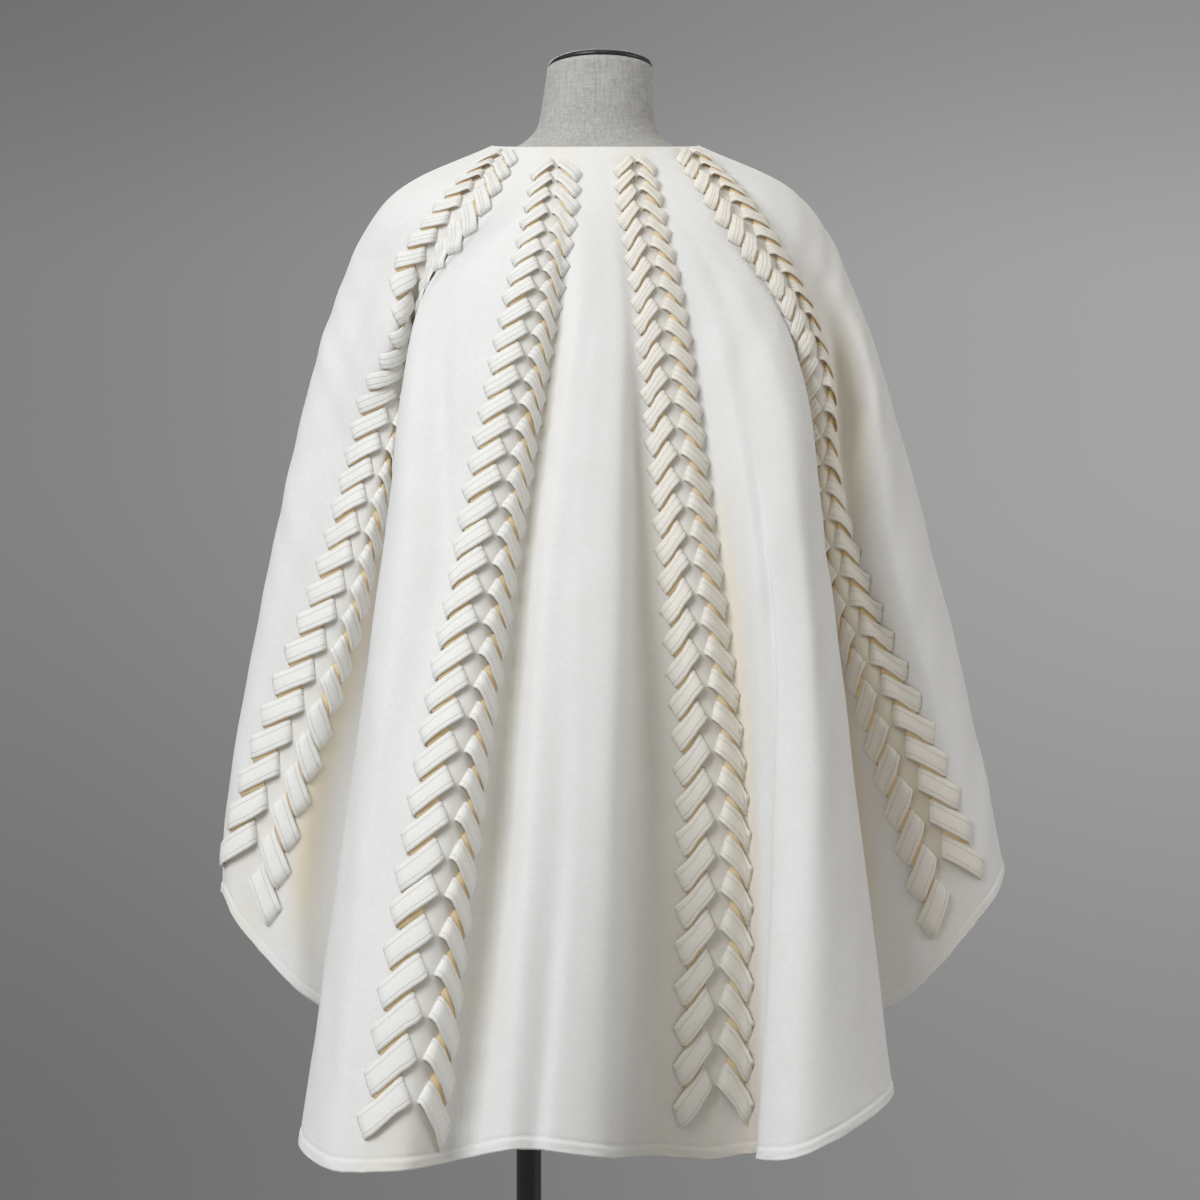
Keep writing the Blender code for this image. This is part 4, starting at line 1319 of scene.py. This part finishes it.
@dataclass(frozen=True)
class LinenFinish(Finish):
    """Grey-white linen glued over the form: plain weave with slubs and fine crackle."""

    name: str = "grey-white linen"
    face: Triple = (0.520, 0.510, 0.490)
    deep: Triple = (0.360, 0.350, 0.330)
    roughness: float = 0.86
    thread_stretch: float = 0.16
    weave_depth: float = 0.0006
    fine: Triple = (620.0, 4.0, 0.65)
    thread: Triple = (420.0, 3.0, 0.60)
    patch: Triple = (40.0, 2.0, 0.5)
    crackle: float = 150.0

    def inputs(self, graph: Graph, point: Socket) -> dict[str, Any]:
        """Return the shader's inputs."""
        long = self.thread_stretch
        fine = graph.noise(point, *self.fine)
        slub, weft = (graph.noise(graph.object_point(stretch), *self.thread)
                      for stretch in ((1.0, 1.0, long), (long, long, 1.0)))
        cell = graph.node("ShaderNodeTexVoronoi", {"feature": "DISTANCE_TO_EDGE"},
                          {"Vector": point, "Scale": self.crackle})
        crack = Value(graph, cell.outputs["Distance"]).step(0.0, 0.10)
        patch = graph.noise(point, *self.patch).step(0.42, 0.60)
        marks = slub * 0.35 + weft * 0.25 + fine * 0.40
        worn = marks.step(0.36, 0.62) * (1.0 - (1.0 - crack) * patch * 0.45)
        return {
            "Base Color": graph.colour(worn, self.deep, self.face),
            "Roughness": fine * 0.10 + (self.roughness - 0.05), "Specular IOR Level": 0.30,
            "Normal": graph.bump(marks * 0.7 + crack * patch * 0.3, self.weave_depth),
        }


@dataclass(frozen=True)
class BlackFinish(Finish):
    """Black lacquer: smooth with faint orange peel and dust."""

    name: str
    colour: Triple = (0.010, 0.010, 0.011)
    dust: Triple = (0.030, 0.030, 0.031)
    roughness: float = 0.36
    peel_depth: float = 0.00008
    peel: Triple = (260.0, 2.0, 0.5)
    film: Triple = (18.0, 4.0, 0.6)

    def inputs(self, graph: Graph, point: Socket) -> dict[str, Any]:
        """Return the shader's inputs."""
        peel, film = graph.noise(point, *self.peel), graph.noise(point, *self.film)
        return {
            "Base Color": graph.colour(film.step(0.45, 0.85), self.colour, self.dust),
            "Roughness": film * 0.16 + self.roughness, "Coat Weight": 0.15,
            "Normal": graph.bump(peel, self.peel_depth),
        }


@dataclass(frozen=True)
class FloorFinish(Finish):
    """A plain pale floor."""

    name: str = "pale floor"
    colour: Triple = (0.34, 0.34, 0.34)
    shade: float = 0.94
    cloud: Triple = (3.0, 3.0, 0.5)

    def inputs(self, graph: Graph, point: Socket) -> dict[str, Any]:
        """Return the shader's inputs."""
        dark = tuple(self.shade * part for part in self.colour)
        cloud = graph.noise(point, *self.cloud)
        return {"Base Color": graph.colour(cloud, dark, self.colour), "Roughness": 0.85}


# ---- studio ----
class Lamp(NamedTuple):
    """A soft light: its place, side, power in watts and colour."""

    name: str
    place: Triple
    size: float
    power: float
    colour: Triple


LAMPS = [
    Lamp("key", (-2.1, -2.9, 3.0), 2.0, 120.5, (0.90, 0.94, 1.0)),
    Lamp("fill", (3.6, -0.8, 1.5), 1.8, 26.0, (0.94, 0.95, 1.0)),
    Lamp("top", (0.2, -0.6, 4.0), 2.0, 14.0, (1.0, 0.97, 0.85)),
    Lamp("rear", (-0.5, 3.0, 2.6), 2.0, 50.0, (1.0, 0.99, 0.97)),
]


@dataclass
class Studio:
    """A grey studio: pale floor, one large soft key light, weak fills and the camera."""

    centre: Triple = (0.05, 0.0, 0.95)
    camera_at: Triple = (0.0675, -4.0, 0.9775)
    lens: float = 126.32
    sensor: float = 36.0
    far: float = 50.0
    dark_side: float = 0.215
    bright_side: float = 0.370
    dim_top: float = 0.27
    dim_foot: float = 0.31
    aside: Pair = (-0.19, 0.154)
    above: Pair = (0.07, 0.15)
    below: Pair = (-0.04, 0.14)
    ahead: Pair = (0.3, 0.9)
    room: Triple = (0.320, 0.312, 0.288)
    floor_radius: float = 2.6
    floor_sides: int = 96

    def place(self, data: Any, at: Triple, turn: Triple) -> Object:
        """Put a lamp, a camera or a mesh into the scene, at a place and a turn."""
        obj = bpy.data.objects.new(data.name, data)
        obj.location, obj.rotation_euler = at, turn
        bpy.context.scene.collection.objects.link(obj)
        return obj

    def lamp(self, lamp: Lamp) -> None:
        """Place a square soft light, aimed at the coat."""
        light = bpy.data.lights.new(lamp.name, "AREA")
        light.shape, light.size = "SQUARE", lamp.size
        light.energy, light.color = lamp.power, lamp.colour
        x, y, z = np.array(lamp.place) - np.array(self.centre)
        self.place(light, lamp.place,
                   (math.atan2(math.hypot(x, y), z), 0.0, math.atan2(y, x) + 0.5 * math.pi))

    def backdrop(self) -> None:
        """Make the world: a grey that brightens from one side of the studio to the other."""
        world = bpy.data.worlds.new("studio")
        bpy.context.scene.world = world
        graph = Graph(world)
        way = graph.node("ShaderNodeSeparateXYZ", None,
                         {0: graph.node("ShaderNodeTexCoord").outputs["Generated"]}).outputs
        aside, deep, up = (Value(graph, way[axis]) for axis in "XYZ")
        tone = self.dark_side + (self.bright_side - self.dark_side) * aside.step(*self.aside)
        tone = tone * (1.0 - self.dim_top * up.step(*self.above))
        tone = tone * (1.0 - self.dim_foot * (-1.0 * up).step(*self.below))
        grey = graph.node("ShaderNodeCombineColor", None,
                          dict.fromkeys(("Red", "Green", "Blue"), tone))
        colour = graph.colour(deep.step(*self.ahead), self.room, grey.outputs["Color"])
        shader = graph.node("ShaderNodeBackground", None, {"Color": colour, "Strength": 1.0})
        graph.node("ShaderNodeOutputWorld", None, {"Surface": shader.outputs["Background"]})

    def build(self, floor_finish: Material) -> None:
        """Make the floor, the lights, the world and the camera."""
        level = (0.0, 0.0, 0.0)
        angle = FULL_TURN * np.arange(self.floor_sides) / self.floor_sides
        rim = self.floor_radius * np.stack([np.cos(angle), np.sin(angle), 0.0 * angle], axis=-1)
        mesh = bpy.data.meshes.new("floor")
        mesh.from_pydata(rim.tolist(), [], [list(range(self.floor_sides))])
        mesh.materials.append(floor_finish)
        self.place(mesh, level, level)
        for lamp in LAMPS:
            self.lamp(lamp)
        self.backdrop()
        camera = bpy.data.cameras.new("camera")
        camera.lens, camera.sensor_width, camera.sensor_fit = self.lens, self.sensor, "HORIZONTAL"
        camera.clip_end = self.far
        scene = bpy.context.scene
        scene.camera = self.place(camera, self.camera_at, (0.5 * math.pi, 0.0, 0.0))
        scene.view_settings.view_transform = "Standard"


# ---- all of it ----
def main() -> None:
    """Build the coat, its dress form and stand, and the studio, in order."""
    logging.basicConfig(level=logging.INFO, format="%(name)s: %(message)s")
    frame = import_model()
    wool, strip, linen, cap, steel = (finish.material() for finish in (
        WoolFinish(), TabFinish(), LinenFinish(), BlackFinish("black satin cap"),
        BlackFinish("black lacquered steel")))
    cape = CapeShape()
    panels = [
        CapePanel(cape, "coat_back", "left side seam", "right side seam", 236,
                  ("back_left_wing", "back_left_panel", "back_centre_panel", "back_right_panel",
                   "back_right_wing"), (2.2, 1.0), 0.94),
        CapePanel(cape, "coat_front_left", "front edge left", "left side seam", 110,
                  ("front_left_panel", "front_left_wing"), (1.0, 1.0), 0.37),
        CapePanel(cape, "coat_front_right", "right side seam", "front edge right", 110,
                  ("front_right_panel", "front_right_wing"), (1.0, 1.0), 0.37),
    ]
    cloths = {panel.name: panel.build(wool) for panel in panels}
    rows: dict[str, list[Object]] = {name: [] for name in cloths}
    for braid in BRAIDS:
        laced = LacedBraid(cape, braid)
        part, _, side = braid.name.split("_")
        home = "coat_back" if part == "back" else f"coat_front_{side}"
        rows[home] += [laced.build_row(row, way, strip) for row, way in (("a", -1), ("b", 1))]
    form = DressForm()
    pieces = [*cloths.values(), *sum(rows.values(), []), form.build(linen), form.build_cap(cap)]
    for node in ("stand_pole", "stand_base"):
        frame["nodes"][node].data.materials[0] = steel
        pieces.append(frame["nodes"][node])
    for piece in pieces:
        LOG.info("%s: %d faces", piece.name, len(piece.data.polygons))
    Studio().build(FloorFinish().material())


if __name__ == "__main__":
    main()
